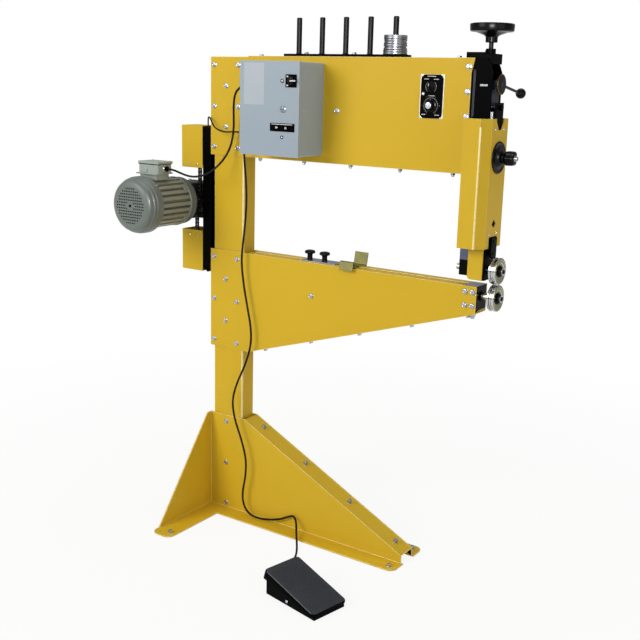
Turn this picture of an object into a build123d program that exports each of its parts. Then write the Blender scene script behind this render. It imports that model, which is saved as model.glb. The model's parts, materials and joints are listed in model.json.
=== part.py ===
from build123d import *
import os
from math import asin, atan2, cos, degrees, hypot, pi, radians, sin, tan

# Deep-throat bead roller on a pedestal. Two arms of folded sheet carry a roll shaft each, a geared
# motor at the back turns both by chain, and the head at the arms' end lifts and presses the upper roll.
# Lengths are millimetres. +X runs along the arms to the rolls, +Z is up, and the operator's side with
# the control box is -Y. The origin is the middle of the column where it meets the floor.

os.makedirs("parts", exist_ok=True)

# Sheets and column
sheet = 4.5
frame_depth = 76.0
column_width = 130.0
column_wall = 5.0
column_corner = 8.0
column_height = 1590.0
foot_plate_thickness = 10.0
sheet_rear_x = -75.0
flange_start_x = 83.0
seam_depth = 40.0

# Base
base_top = 356.0
base_slope_x = 79.0
base_tip_x = 731.0
base_tip_height = 31.0
wing_reach = 317.0
wing_top_reach = 59.0
floor_flange_width = 65.0
wing_flange_width = 84.0
floor_flange_overhang = 8.0
floor_flange_corner = 28.0
wing_flange_reach = 355.0

# Upper arm
arm_top = 1598.0
arm_top_step = 3.0
upper_arm_bottom = 1274.0
upper_arm_end_x = 878.0
upper_arm_tip_x = 887.0
upper_arm_tip_bend_z = 1558.0

# Lower arm
lower_arm_top = 951.0
lower_arm_root_z = 605.0
lower_arm_root_x = 90.0
lower_arm_end_x = 936.0
lower_arm_end_z = 868.0
lower_arm_slot = 16.0
lower_flange_end_x = 890.0

# Bolts
bolt_flats = 13.0
bolt_head = 6.0
column_bolt_x = -8.5
column_bolt_spacing = 50.5
upper_bolt_top_z = 1569.0
upper_bolt_pitch = 134.0
lower_bolt_top_z = 925.0
lower_bolt_pitch = 148.0
flange_bolt_x = 108.0
flange_bolt_pitch = 178.0
flange_bolt_count = 5
slope_bolt_first = 52.0
slope_bolt_pitch = 198.0
upper_mid_bolt = (431.0, 1436.0)
lower_mid_bolt = (353.0, 841.0)
spacer_radius = 10.0
upper_end_bolt = (870.0, 1505.0)
upper_end_bolt_pitch = 69.0
lower_end_bolt = (913.0, 913.5)
lower_end_bolt_spacing = (24.0, 41.0)
base_bolt_x = -2.0
base_bolt_low_z = 19.0
base_bolt_pitch = 157.0
base_slope_bolt_first = 64.0
base_slope_bolt_pitch = 205.0
floor_bolt_leg = (710.0, 78.0)
floor_bolt_wing = (-15.0, 322.0)

# Shafts, chains and gears
shaft_radius = 11.0
shaft_fit = 0.05
running_gap = 0.5
chain_pitch = 12.7
head_chain_pitch = 9.525
sprocket_teeth = 16
upper_chain_straight_links = 17
lower_chain_straight_links = 15
head_chain_straight_links = 30
upper_shaft_z = 1324.5
chain_plane_x = -135.0
chain_plane_gap = 14.0
sprocket_width = 7.0
chain_inner_width = 7.8
chain_plate = 1.6
sprocket_hub_radius = 18.0
sprocket_hub_length = 12.0
head_chain_x = 919.0
gear_teeth = 20
gear_module = 2.0
gear_x = 935.0
gear_width = 12.0
gear_fit = 0.12

# Shapes of a chain tooth and link, as shares of the pitch or of the angle from tooth to tooth
tooth_root_share = 0.3425
tooth_tip_share = 0.2
root_angle_share = 0.22
tip_angle_share = 0.41
roller_share = 0.305
link_eye_share = 0.4
link_waist_share = 0.29
gear_root_angle_share = 0.36
gear_pitch_angle_share = 0.25
gear_tip_angle_share = 0.11

# Rolls
roll_radius = 39.7
roll_width = 24.0
roll_x = 968.0
roll_rim_width = 7.0
roll_groove = 4.0
roll_hub_radius = 22.0
nut_flats = 27.0
nut_height = 7.0
shaft_tip_x = 1001.0

# Rear drive
channel_rear_x = -111.0
channel_wall = 4.0
channel_bottom = 860.0
channel_top = 1362.0
channel_chamfer = 22.0
bearing_radius = 27.0
bearing_width = 13.0
guard_rear_x = -204.0
guard_wall = 2.0
upper_guard_bottom = 1224.0
upper_guard_top = 1367.0
lower_guard_bottom = 866.0
lower_guard_top = 1008.0
gearbox_x = -200.0
gearbox_half_x = 50.0
gearbox_half_y = 56.0
gearbox_half_z = 62.0
gearbox_wall_round = 14.0
gearbox_lug_half = 18.0
gearbox_lug_low = 46.0
gearbox_lug_high = 60.0
gearbox_end_radius = 40.0
gearbox_end_depth = 5.0
output_shaft_radius = 12.0

# Motor, lying across the back with its fan end at the operator's side
motor_flange_y = -57.0
motor_flange_width = 10.0
bell_y = -86.0
hood_rear_y = -238.0
hood_front_y = -306.0
motor_radius = 70.0
motor_fin_radius = 82.0
fin_count = 36
fin_thickness = 2.6
bell_radius = 80.0
cowl_lug_width = 14.0
cowl_lug_depth = 12.0
cowl_lug_gap = 0.3
hood_radius = 95.0
hood_wall = 2.5
hood_round = 16.0
hood_hub_radius = 22.0
grille_slot = (17.0, 4.6)
grille_pitch = (21.0, 9.4)
grille_columns = 5
grille_rows = 13
grille_radius = 64.0
grille_hub_radius = 18.0
rotor_radius = 7.0
fan_hub_radius = 18.0
fan_radius = 78.0
fan_depth = 22.0
fan_y = -266.0
fan_blades = 7
fan_blade = 2.0
terminal_half_x = 44.0
terminal_y = (-222.0, -142.0)
terminal_top = 1250.0
terminal_lid = 8.0
terminal_overhang = 3.0
terminal_base = 5.0
terminal_round = 6.0

# Head
housing_web_x = 882.0
housing_web = 8.0
housing_side_x = 941.0
cheek_rear_x = 850.0
housing_wall = 6.0
housing_bottom = 1102.0
housing_side_bottom = 1425.0
rail_half_y = 14.0
rail_top = 1250.0
rail_gap = 0.3
housing_top = 1597.0
housing_chamfer = (30.0, 38.0)
housing_pin_z = 1523.0
housing_pin_radius = 5.0
top_block_x = (856.0, 912.0)
top_block_half_y = 30.0
top_block_top = 1614.0
screw_x = 916.0
screw_radius = 6.5
screw_fit = 0.2
collar_half = 14.0
collar_top = 1624.0
bearing_block_x = (893.0, 939.0)
bearing_block_top = 1610.0
bearing_block_bottom = 1582.0
cover_x = 884.0
cover_end_x = 960.0
cover_facet_x = 935.0
cover_half_y = 79.0
cover_end_half_y = 53.0
cover_wall = 3.0
cover_bottom = 1066.0
cover_top = 1433.0
cover_notch_half = 25.0
cover_notch_tip_half = 8.0
cover_notch_depth = 32.0
cover_foot_notch_half = 27.5
cover_foot_notch_top = 1098.0
cover_shaft_hole = 30.0
cover_window = 20.0
cover_window_z = 1135.0
cover_screw_z = 1107.0
cover_screw_y = 24.0
cover_screw_radius = 3.0
cover_seat_gap = 0.3

# Handwheel and adjuster
wheel_radius = 65.0
wheel_rim_bottom = 1670.0
wheel_rim_top = 1692.0
wheel_rim_width = 14.0
wheel_web = 7.0
wheel_hub_radius = 17.0
wheel_hub_bottom = 1640.0
wheel_hub_low = 1656.0
adjuster_x = (894.0, 939.0)
adjuster_half_y = 27.0
adjuster_bottom = 1466.0
adjuster_top = 1512.0
adjuster_clearance = 0.3
cam_radius = 29.0
cam_x = (945.0, 958.0)
cam_z = 1527.0
cam_pin_radius = 8.0
cam_bracket_half_y = 14.0
lever_reach = 150.0
lever_drop_angle = 9.0
lever_radius = 4.0
lever_root_share = 0.6
lever_ball_radius = 15.0

# Lift plate and roll carrier
lift_plate_x = (950.0, 956.0)
lift_plate_top = 1477.0
lift_plate_half_y = 24.0
lift_plate_neck_z = 1215.0
lift_plate_shoulder_z = 1195.0
lift_slot_half = 14.0
lift_travel = 42.0
lift_nub_radius = 7.0
lift_nub_length = 8.0
carrier_x = (903.0, 949.7)
carrier_half_y = 38.0
carrier_wall = 4.0
carrier_bottom = 971.0
carrier_round = 10.0
carrier_top = 1185.0
carrier_keeper_x = (961.0, 966.0)
carrier_keeper_half_y = 18.0
carrier_keeper_z = (1036.0, 1096.0)
carrier_keeper_neck_top = 1054.0
jackshaft_radius = 7.0
roll_shaft_inner_radius = 9.0
roll_shaft_rear_x = 853.0
rear_block_x = (868.0, 902.7)
rear_block_half_y = 20.0
rear_block_z = (978.0, 1029.0)
rear_slide_z = (1029.0, 1056.0)

# Shaft end at the head
end_flange_radius = 46.0
end_flange_width = 8.0
end_boss_radius = 24.0
end_boss_width = 14.0
knob_x = (985.0, 1012.0)
knob_radius = 22.0
knob_neck_radius = 15.0
knob_stub_radius = 6.0
knob_tip_x = 1019.0
knob_flutes = 6
knob_flute_radius = 5.0

# Control box
box_x = (157.0, 382.0)
box_z = (1295.0, 1580.0)
box_front_y = -172.0
box_wall = 2.5
box_round = 4.0
door_skirt = 12.0
door_gap = 0.5
door_inset = 2.0
hinge_gap = 5.5
hinge_radius = 4.0
hinge_pin_radius = 2.0
hinge_length = 18.0
hinge_leaf = 2.0
hinge_places_share = (0.2, 0.8)
latch_place = (324.0, 1438.0)
latch_radius = 9.0
latch_stem_radius = 5.0
latch_height = 8.0
latch_tongue = (22.0, 8.0, 2.5)
switch_plate_x = (333.0, 373.0)
switch_plate_z = (1503.0, 1541.0)
switch_plate_depth = 2.5
switch_radius = 13.0
switch_height = 16.0
light_plate_x = (276.0, 368.0)
light_plate_z = (1371.0, 1396.0)
light_plate_depth = 1.5
light_places = ((303.0, 1383.5), (338.0, 1383.5))
light_radius = 7.5
light_height = 7.0
inverter_x = (186.0, 296.0)
inverter_z = (1400.0, 1550.0)
inverter_y = (-118.0, -48.0)
inverter_ribs = 8
inverter_rib = 3.0
terminal_rail_z = (1330.0, 1365.0)
back_plate = 3.0

# Panel on the arm
panel_x = (718.0, 800.0)
panel_z = (1426.0, 1551.0)
panel_depth = 3.0
panel_back = 1.0
panel_chamfer = 9.0
panel_screw_inset = 8.0
panel_screw_radius = 3.0
panel_screw_height = 1.5
selector_place = (755.0, 1516.0)
selector_radius = 11.0
selector_height = 17.0
selector_grip = 6.0
indicator_place = (731.0, 1496.0)
indicator_radius = 5.0
indicator_height = 5.0
dial_place = (757.0, 1463.0)
dial_radius = 20.0
dial_top_radius = 14.0
dial_height = 17.0
dial_skirt = 4.0

# Die rack
rack_x = (212.0, 652.0)
rack_half_y = 22.0
rack_thickness = 8.0
post_first_x = 257.0
post_pitch = 87.6
post_count = 5
post_radius = 8.0
post_top = 1716.0
post_chamfer = 2.0
die_radius = 40.0
die_heights = (13.0, 16.0, 14.0, 12.0)
die_groove = 3.5
die_bore_fit = 0.4
die_gap = 0.3

# Fence and guide
fence_x = (297.0, 431.0)
fence_half_y = 26.0
fence_thickness = 3.5
fence_knob_x = (318.0, 376.0)
fence_knob_radius = 18.0
fence_knob_height = 31.5
fence_knob_neck = 9.0
fence_knob_neck_height = 19.5
fence_stud_radius = 5.0
fence_nut_half = (14.0, 17.0)
fence_nut_thickness = 8.0
fence_gap = 0.3
guide_x = (465.0, 515.0)
guide_thickness = 3.0
guide_rear_y = 45.0
guide_rear_top = 993.0
guide_front_y = -50.0
guide_front_top = 985.0
guide_front_low = 945.0
guide_bend = 8.0
guide_waist_radius = 26.0
guide_waist_depth = 14.0
guide_bolt_radius = 6.0
guide_bolt_shank = 12.0

# Foot pedal
pedal_x = 610.5
pedal_y = -409.0
pedal_yaw = -12.0
pedal_length = 222.0
pedal_width = 142.0
pedal_back_height = 82.0
pedal_front_height = 20.0
pedal_skin = 4.0
pedal_skirt = 12.0
pedal_base_back = 60.0
pedal_base_front = 10.0
pedal_base_inset = 5.0
pedal_floor_thickness = 4.0
pedal_pin_radius = 4.0
pedal_pin_height = 19.0
pedal_pin_x = -4.0
pedal_foot_radius = 8.0
pedal_gland_y = 40.0
pedal_gland_z = 24.0

# Cables
cable_diameter = 7.0
panel_cable_diameter = 5.0
gland_radius = 9.0
gland_length = 14.0
bend_share = 0.45

# Worked out from the sizes above
half_depth = frame_depth / 2
inner_half = half_depth - sheet
column_half = column_width / 2
column_top_z = arm_top - arm_top_step
tooth_angle = 2 * pi / sprocket_teeth
chain_radius = chain_pitch / 2 / sin(tooth_angle / 2)
head_chain_radius = head_chain_pitch / 2 / sin(tooth_angle / 2)
drive_z = upper_shaft_z - upper_chain_straight_links * chain_pitch
lower_shaft_z = drive_z - lower_chain_straight_links * chain_pitch
jackshaft_z = upper_shaft_z - head_chain_straight_links * head_chain_pitch
gear_radius = gear_module * gear_teeth / 2
roll_shaft_z = jackshaft_z - 2 * gear_radius
upper_chain_x = chain_plane_x + chain_plane_gap / 2
lower_chain_x = chain_plane_x - chain_plane_gap / 2
rack_top = arm_top + rack_thickness
post_places = [(post_first_x + k * post_pitch, 0) for k in range(post_count)]


def block(x_range, y_range, z_range, mode=Mode.ADD):
    """Rectangular solid between three pairs of limits."""
    limits = (x_range, y_range, z_range)
    with Locations([tuple((low + high) / 2 for low, high in limits)]):
        Box(*(high - low for low, high in limits), mode=mode)


def rod(start, direction, length, radius, mode=Mode.ADD):
    """Round bar from a start point along a direction."""
    with BuildSketch(Plane(origin=start, z_dir=direction)) as section:
        Circle(radius)
    extrude(section.sketch, amount=length, mode=mode)


def prism(plane, points, amount, mode=Mode.ADD):
    """Straight-sided outline on a plane, drawn out along the plane's normal."""
    with BuildSketch(plane) as section:
        with BuildLine():
            Polyline(*points, close=True)
        make_face()
    extrude(section.sketch, amount=amount, mode=mode)


def turned(origin, axis, outline):
    """Solid of revolution: outline points are (distance along the axis, radius)."""
    profile = Plane(origin=origin, x_dir=axis, z_dir=Vector(*axis).cross(Vector(0, 0, 1) if axis[2] == 0
                                                                          else Vector(1, 0, 0)))
    with BuildSketch(profile) as section:
        with BuildLine():
            Polyline(*outline, close=True)
        make_face()
    revolve(section.sketch, axis=Axis(origin, axis))


def save(piece, label):
    """Name a finished piece and write it."""
    piece.part.label = label
    export_step(piece.part, f"parts/{label}.step")


def panel(outline, side):
    """Flat web of a folded sheet on the front (side -1) or rear (side 1) of the frame."""
    prism(Plane.XZ.offset(-side * inner_half), outline, -side * sheet)


def strip(start, end, y_range, level=0):
    """Folded edge along an outline walked clockwise, one or more sheets below the outline."""
    run = hypot(end[0] - start[0], end[1] - start[1])
    inward = ((end[1] - start[1]) / run, -(end[0] - start[0]) / run)
    outer = level * sheet
    inner = (level + 1) * sheet
    points = [(start[0] + inward[0] * outer, start[1] + inward[1] * outer),
              (end[0] + inward[0] * outer, end[1] + inward[1] * outer),
              (end[0] + inward[0] * inner, end[1] + inward[1] * inner),
              (start[0] + inward[0] * inner, start[1] + inward[1] * inner)]
    prism(Plane.XZ.offset(-y_range[0]), points, -(y_range[1] - y_range[0]))


def heads(plane, places, outward=1):
    """Hexagon bolt heads standing on a plane at the given places."""
    with BuildSketch(plane) as section:
        with Locations(*places):
            RegularPolygon(bolt_flats / 2, 6, major_radius=False)
    extrude(section.sketch, amount=outward * bolt_head)


def through_heads(places):
    """Bolt heads at the same places on the front and the rear of the frame."""
    heads(Plane.XZ.offset(half_depth), places)
    heads(Plane.XZ.offset(-half_depth), places, -1)


def column_group(top_z, pitch):
    """Eight places in the 3-2-3 pattern that clamps an arm to the column."""
    outer = [(column_bolt_x + side * column_bolt_spacing, top_z - row * pitch)
             for side in (-1, 1) for row in range(3)]
    middle = [(column_bolt_x, top_z - (row + 1 / 2) * pitch) for row in range(2)]
    return outer + middle


def slope_plane(start, end):
    """Plane on a sloping flange: local x runs down the slope along the frame's middle."""
    along = Vector(end[0] - start[0], 0, end[1] - start[1])
    return Plane(origin=(start[0], 0, start[1]), x_dir=along, z_dir=along.cross(Vector(0, 1, 0)))


def sprocket(x_middle, z_centre, pitch, bore=None):
    """Chain wheel about an X shaft, with its tooth gaps where the chain's rollers sit."""
    pitch_radius = pitch / 2 / sin(tooth_angle / 2)
    outline = []
    for tooth in range(sprocket_teeth):
        for share, radius in ((-root_angle_share, pitch_radius - tooth_root_share * pitch),
                              (root_angle_share, pitch_radius - tooth_root_share * pitch),
                              (tip_angle_share, pitch_radius + tooth_tip_share * pitch),
                              (1 - tip_angle_share, pitch_radius + tooth_tip_share * pitch)):
            angle = (tooth + share) * tooth_angle
            outline.append((radius * cos(angle), z_centre + radius * sin(angle)))
    prism(Plane.YZ.offset(x_middle - sprocket_width / 2), outline, sprocket_width)
    rod((x_middle - sprocket_hub_length / 2, 0, z_centre), (1, 0, 0), sprocket_hub_length,
        min(sprocket_hub_radius, pitch_radius - pitch * (tooth_root_share + root_angle_share)))
    if bore:
        rod((x_middle - sprocket_hub_length, 0, z_centre), (1, 0, 0), 2 * sprocket_hub_length, bore,
            Mode.SUBTRACT)


def roller_centres(z_top, z_bottom, pitch, straight_links):
    """Places of a chain's rollers, once round both wheels, as (y, z)."""
    radius = pitch / 2 / sin(tooth_angle / 2)
    half_turn = [k * tooth_angle for k in range(1, sprocket_teeth // 2)]
    rising = [(radius, z_bottom + k * pitch) for k in range(straight_links + 1)]
    over = [(radius * cos(a), z_top + radius * sin(a)) for a in half_turn]
    falling = [(-radius, z_top - k * pitch) for k in range(straight_links + 1)]
    under = [(-radius * cos(a), z_bottom - radius * sin(a)) for a in half_turn]
    return rising + over + falling + under


def link_outline(centres, eye, waist):
    """Closed row of points beside the roller centres, wide at each eye and narrow at each waist."""
    points = []
    for k, here in enumerate(centres):
        before = centres[k - 1]
        after = centres[(k + 1) % len(centres)]
        along = atan2(after[1] - before[1], after[0] - before[0])
        points.append((here[0] + eye * sin(along), here[1] - eye * cos(along)))
        across = atan2(after[1] - here[1], after[0] - here[0])
        middle = ((here[0] + after[0]) / 2, (here[1] + after[1]) / 2)
        points.append((middle[0] + waist * sin(across), middle[1] - waist * cos(across)))
    return points


def chain(x_middle, z_top, z_bottom, pitch, straight_links, inner_width):
    """Roller chain round two equal wheels: two rows of waisted plates joined by the rollers of the runs.

    The wheels' teeth fill the row between the plates on the arcs, so the rollers there are left out.
    """
    centres = roller_centres(z_top, z_bottom, pitch, straight_links)
    teeth_reach = pitch / 2 / sin(tooth_angle / 2) + (tooth_tip_share + roller_share) * pitch
    free = [(y, z) for y, z in centres if min(hypot(y, z - z_top), hypot(y, z - z_bottom)) > teeth_reach]
    eye = link_eye_share * pitch
    waist = link_waist_share * pitch
    for x_low in (x_middle - inner_width / 2 - chain_plate, x_middle + inner_width / 2):
        prism(Plane.YZ.offset(x_low), link_outline(centres, eye, waist), chain_plate)
        prism(Plane.YZ.offset(x_low), link_outline(centres, -eye, -waist), chain_plate, Mode.SUBTRACT)
    with BuildSketch(Plane.YZ.offset(x_middle - inner_width / 2)) as rollers:
        with Locations(*free):
            RegularPolygon(roller_share * pitch, 6)
    extrude(rollers.sketch, amount=inner_width)


def gear(x_low, z_centre, phase):
    """Spur gear about an X shaft with straight-flanked teeth."""
    step = 2 * pi / gear_teeth
    outline = []
    for tooth in range(gear_teeth):
        for share, radius in ((-gear_root_angle_share, gear_radius - gear_module * (1 + 1 / 4)),
                              (-gear_pitch_angle_share + gear_fit / gear_radius / step, gear_radius),
                              (-gear_tip_angle_share, gear_radius + gear_module),
                              (gear_tip_angle_share, gear_radius + gear_module),
                              (gear_pitch_angle_share - gear_fit / gear_radius / step, gear_radius),
                              (gear_root_angle_share, gear_radius - gear_module * (1 + 1 / 4))):
            angle = (tooth + phase + share) * step
            outline.append((radius * cos(angle), z_centre + radius * sin(angle)))
    prism(Plane.YZ.offset(x_low), outline, gear_width)


# Column: square tube welded on its foot plate, with ways through for both roll shafts
with BuildPart() as column:
    with BuildSketch(Plane.XY.offset(foot_plate_thickness)):
        RectangleRounded(column_width, 2 * inner_half, column_corner)
        RectangleRounded(column_width - 2 * column_wall, 2 * (inner_half - column_wall),
                         column_corner - column_wall, mode=Mode.SUBTRACT)
    extrude(amount=column_height - foot_plate_thickness)
    block((-column_half, column_half), (-inner_half, inner_half), (0, foot_plate_thickness))
    for shaft_z in (upper_shaft_z, lower_shaft_z):
        rod((-column_width, 0, shaft_z), (1, 0, 0), 2 * column_width, shaft_radius + column_wall,
            Mode.SUBTRACT)
save(column, "column")


def base_sheet(side):
    """Leg panel, wing, floor flange and sloping top flange, folded from one sheet."""
    panel([(sheet_rear_x, 0), (sheet_rear_x, base_top), (base_slope_x, base_top),
           (base_tip_x, base_tip_height), (base_tip_x, 0)], side)
    reach = (-inner_half, inner_half) if side < 0 else (inner_half - seam_depth, inner_half)
    strip((base_slope_x, base_top), (base_tip_x, base_tip_height), reach, (side + 1) // 2)
    wing = [(side * inner_half, 0), (side * wing_reach, 0), (side * wing_reach, sheet),
            (side * wing_top_reach, base_top), (side * inner_half, base_top)]
    prism(Plane.YZ.offset(sheet_rear_x), wing, sheet)
    leg_edge = side * (half_depth + floor_flange_width)
    tip_x = base_tip_x + floor_flange_overhang
    wing_edge_x = sheet_rear_x + wing_flange_width
    with BuildSketch() as floor_flange:
        with BuildLine():
            Polyline((sheet_rear_x, side * inner_half), (tip_x, side * inner_half), (tip_x, leg_edge),
                     (wing_edge_x, leg_edge), (wing_edge_x, side * wing_flange_reach),
                     (sheet_rear_x, side * wing_flange_reach), close=True)
        make_face()
        ends = vertices().filter_by(lambda v: abs(v.Y) > half_depth
                                    and (v.X > base_tip_x or abs(v.Y) > wing_reach))
        fillet(ends, floor_flange_corner)
    extrude(floor_flange.sketch, amount=sheet)


with BuildPart() as base_sheet_front:
    base_sheet(-1)
save(base_sheet_front, "base_sheet_front")

with BuildPart() as base_sheet_rear:
    base_sheet(1)
save(base_sheet_rear, "base_sheet_rear")

# Base bolts: column row, sloping flange row and one on each floor flange end
with BuildPart() as base_bolts:
    through_heads([(base_bolt_x, base_bolt_low_z + row * base_bolt_pitch) for row in range(3)])
    heads(slope_plane((base_slope_x, base_top), (base_tip_x, base_tip_height)),
          [(base_slope_bolt_first + k * base_slope_bolt_pitch, 0) for k in range(4)])
    heads(Plane.XY.offset(sheet), [(x, side * y) for side in (-1, 1)
                                   for x, y in (floor_bolt_leg, floor_bolt_wing)])
save(base_bolts, "base_bolts")


def upper_arm_sheet(side):
    """Web and flanges of the upper arm; the rear sheet's flanges tuck under the front's."""
    step_z = arm_top - arm_top_step
    panel([(sheet_rear_x, upper_arm_bottom), (sheet_rear_x, step_z), (flange_start_x, step_z),
           (flange_start_x, arm_top), (upper_arm_tip_x, arm_top),
           (upper_arm_end_x, upper_arm_tip_bend_z), (upper_arm_end_x, upper_arm_bottom)], side)
    reach = (-inner_half, inner_half) if side < 0 else (inner_half - seam_depth, inner_half)
    level = (side + 1) // 2
    strip((flange_start_x, arm_top), (top_block_x[0], arm_top), reach, level)
    strip((upper_arm_end_x, upper_arm_bottom), (flange_start_x, upper_arm_bottom), reach, level)


with BuildPart() as upper_arm_front:
    upper_arm_sheet(-1)
save(upper_arm_front, "upper_arm_front")

with BuildPart() as upper_arm_rear:
    upper_arm_sheet(1)
save(upper_arm_rear, "upper_arm_rear")


def lower_arm_sheet(side):
    """Tapered web with two inward top flanges that leave a slot, and lapped bottom flanges."""
    panel([(sheet_rear_x, lower_arm_root_z), (sheet_rear_x, lower_arm_top),
           (lower_arm_end_x, lower_arm_top), (lower_arm_end_x, lower_arm_end_z),
           (lower_arm_root_x, lower_arm_root_z)], side)
    lip = sorted((side * lower_arm_slot / 2, side * inner_half))
    strip((flange_start_x, lower_arm_top), (lower_flange_end_x, lower_arm_top), lip)
    reach = (-inner_half, inner_half) if side < 0 else (inner_half - seam_depth, inner_half)
    strip((lower_arm_end_x, lower_arm_end_z), (lower_arm_root_x, lower_arm_root_z), reach,
          (side + 1) // 2)


with BuildPart() as lower_arm_front:
    lower_arm_sheet(-1)
save(lower_arm_front, "lower_arm_front")

with BuildPart() as lower_arm_rear:
    lower_arm_sheet(1)
save(lower_arm_rear, "lower_arm_rear")

# Arm bolts: column groups, arm ends, flange rows and the spacer tube in each arm
with BuildPart() as arm_bolts:
    upper_places = column_group(upper_bolt_top_z, upper_bolt_pitch) + [upper_mid_bolt]
    upper_places += [(upper_end_bolt[0], upper_end_bolt[1] + k * upper_end_bolt_pitch)
                     for k in (-1, 0, 1)]
    lower_places = column_group(lower_bolt_top_z, lower_bolt_pitch) + [lower_mid_bolt]
    lower_places += [(lower_end_bolt[0] + i * lower_end_bolt_spacing[0] / 2,
                      lower_end_bolt[1] + k * lower_end_bolt_spacing[1] / 2)
                     for i in (-1, 1) for k in (-1, 1)]
    through_heads(upper_places + lower_places)
    flange_places = [flange_bolt_x + k * flange_bolt_pitch for k in range(flange_bolt_count)]
    beside_rack = [x for x in flange_places if not rack_x[0] < x < rack_x[1]]
    on_rack = [x for x in flange_places if x not in beside_rack
               and x < post_places[-1][0] - die_radius - bolt_flats]
    heads(Plane.XY.offset(rack_top), [(x, 0) for x in on_rack])
    heads(Plane.XY.offset(arm_top), [(x, 0) for x in beside_rack])
    heads(Plane.XY.offset(upper_arm_bottom), [(x, 0) for x in flange_places], -1)
    heads(slope_plane((lower_arm_root_x, lower_arm_root_z), (lower_arm_end_x, lower_arm_end_z)),
          [(slope_bolt_first + k * slope_bolt_pitch, 0) for k in range(5)], -1)
    for x, z in (upper_mid_bolt, lower_mid_bolt):
        rod((x, -inner_half, z), (0, 1, 0), 2 * inner_half, spacer_radius)
save(arm_bolts, "arm_bolts")

# Bearing block that closes the lower arm's end and carries the lower roll shaft
with BuildPart() as lower_bearing_block:
    slope = atan2(lower_arm_end_z - lower_arm_root_z, lower_arm_end_x - lower_arm_root_x)
    end_low = lower_arm_end_z + 2 * sheet / cos(slope)
    start_low = end_low - (lower_arm_end_x - lower_flange_end_x) * tan(slope)
    prism(Plane.XZ.offset(-inner_half),
          [(lower_flange_end_x, start_low), (lower_arm_end_x, end_low),
           (lower_arm_end_x, lower_arm_top), (lower_flange_end_x, lower_arm_top)], 2 * inner_half)
    rod((lower_flange_end_x, 0, lower_shaft_z), (1, 0, 0), lower_arm_end_x, shaft_radius + shaft_fit,
        Mode.SUBTRACT)
save(lower_bearing_block, "lower_bearing_block")

# Black channel down the back that carries the shafts' rear bearings
with BuildPart() as drive_channel:
    with BuildSketch(Plane.YZ.offset(channel_rear_x)):
        with Locations((0, (channel_bottom + channel_top) / 2)):
            Rectangle(frame_depth, channel_top - channel_bottom)
        chamfer(vertices().group_by(Axis.Z)[0], channel_chamfer)
    extrude(amount=channel_wall)
    for side in (-1, 1):
        walls = sorted((side * half_depth, side * (half_depth - channel_wall)))
        block((channel_rear_x, sheet_rear_x), walls, (channel_bottom + channel_chamfer, channel_top))
    for shaft_z in (upper_shaft_z, lower_shaft_z):
        rod((channel_rear_x, 0, shaft_z), (1, 0, 0), channel_wall, shaft_radius + column_wall,
            Mode.SUBTRACT)
save(drive_channel, "drive_channel")


def bearing(x_low, z_centre, radius, width, bore_radius):
    """Bearing ring round an X shaft."""
    turned((x_low, 0, z_centre), (1, 0, 0),
           [(0, bore_radius + shaft_fit), (width, bore_radius + shaft_fit),
            (width, radius - width / 4), (width * 3 / 4, radius), (0, radius)])


# Bearings: two on the channel, one on the head's web, and the flanged one on the head cover
with BuildPart() as shaft_bearings:
    for shaft_z in (upper_shaft_z, lower_shaft_z):
        bearing(channel_rear_x + channel_wall, shaft_z, bearing_radius, bearing_width, shaft_radius)
    bearing(housing_web_x + housing_web, upper_shaft_z, bearing_radius, bearing_width, shaft_radius)
    turned((cover_end_x, 0, upper_shaft_z), (1, 0, 0),
           [(0, shaft_radius + shaft_fit), (end_boss_width, shaft_radius + shaft_fit),
            (end_boss_width, end_boss_radius), (end_flange_width, end_boss_radius),
            (end_flange_width, end_flange_radius - end_flange_width / 4),
            (end_flange_width * 3 / 4, end_flange_radius), (0, end_flange_radius)])
save(shaft_bearings, "shaft_bearings")

# Roll shafts
with BuildPart() as upper_shaft:
    rear_tip_x = chain_plane_x - chain_plane_gap - bolt_head
    rod((rear_tip_x, 0, upper_shaft_z), (1, 0, 0), knob_x[0] - rear_tip_x, shaft_radius)
    rod((knob_x[0], 0, upper_shaft_z), (1, 0, 0), knob_tip_x - knob_x[0], knob_stub_radius)
save(upper_shaft, "upper_shaft")

with BuildPart() as lower_spindle:
    rod((rear_tip_x, 0, lower_shaft_z), (1, 0, 0), shaft_tip_x - rear_tip_x, shaft_radius)
save(lower_spindle, "lower_spindle")

# Chain wheels
with BuildPart() as upper_sprockets:
    sprocket(upper_chain_x, upper_shaft_z, chain_pitch, shaft_radius + shaft_fit)
    sprocket(head_chain_x, upper_shaft_z, head_chain_pitch, shaft_radius + shaft_fit)
save(upper_sprockets, "upper_sprockets")

with BuildPart() as lower_sprocket:
    sprocket(lower_chain_x, lower_shaft_z, chain_pitch, shaft_radius + shaft_fit)
save(lower_sprocket, "lower_sprocket")

# Chains from the gearbox up to the upper shaft and down to the lower spindle
with BuildPart() as drive_chains:
    chain(upper_chain_x, upper_shaft_z, drive_z, chain_pitch, upper_chain_straight_links,
          chain_inner_width)
    chain(lower_chain_x, drive_z, lower_shaft_z, chain_pitch, lower_chain_straight_links,
          chain_inner_width)
save(drive_chains, "drive_chains")


def chain_guard(z_low, z_high, open_up):
    """Sheet cover over one end of the chains, open to the middle of the machine."""
    block((guard_rear_x, channel_rear_x), (-half_depth - guard_wall, half_depth + guard_wall),
          (z_low, z_high))
    low = z_low + (0 if not open_up else guard_wall)
    high = z_high - (guard_wall if not open_up else 0)
    block((guard_rear_x + guard_wall, channel_rear_x), (-half_depth, half_depth), (low, high),
          Mode.SUBTRACT)


with BuildPart() as upper_chain_guard:
    chain_guard(upper_guard_bottom, upper_guard_top, False)
save(upper_chain_guard, "upper_chain_guard")

with BuildPart() as lower_chain_guard:
    chain_guard(lower_guard_bottom, lower_guard_top, True)
save(lower_chain_guard, "lower_chain_guard")

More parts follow.
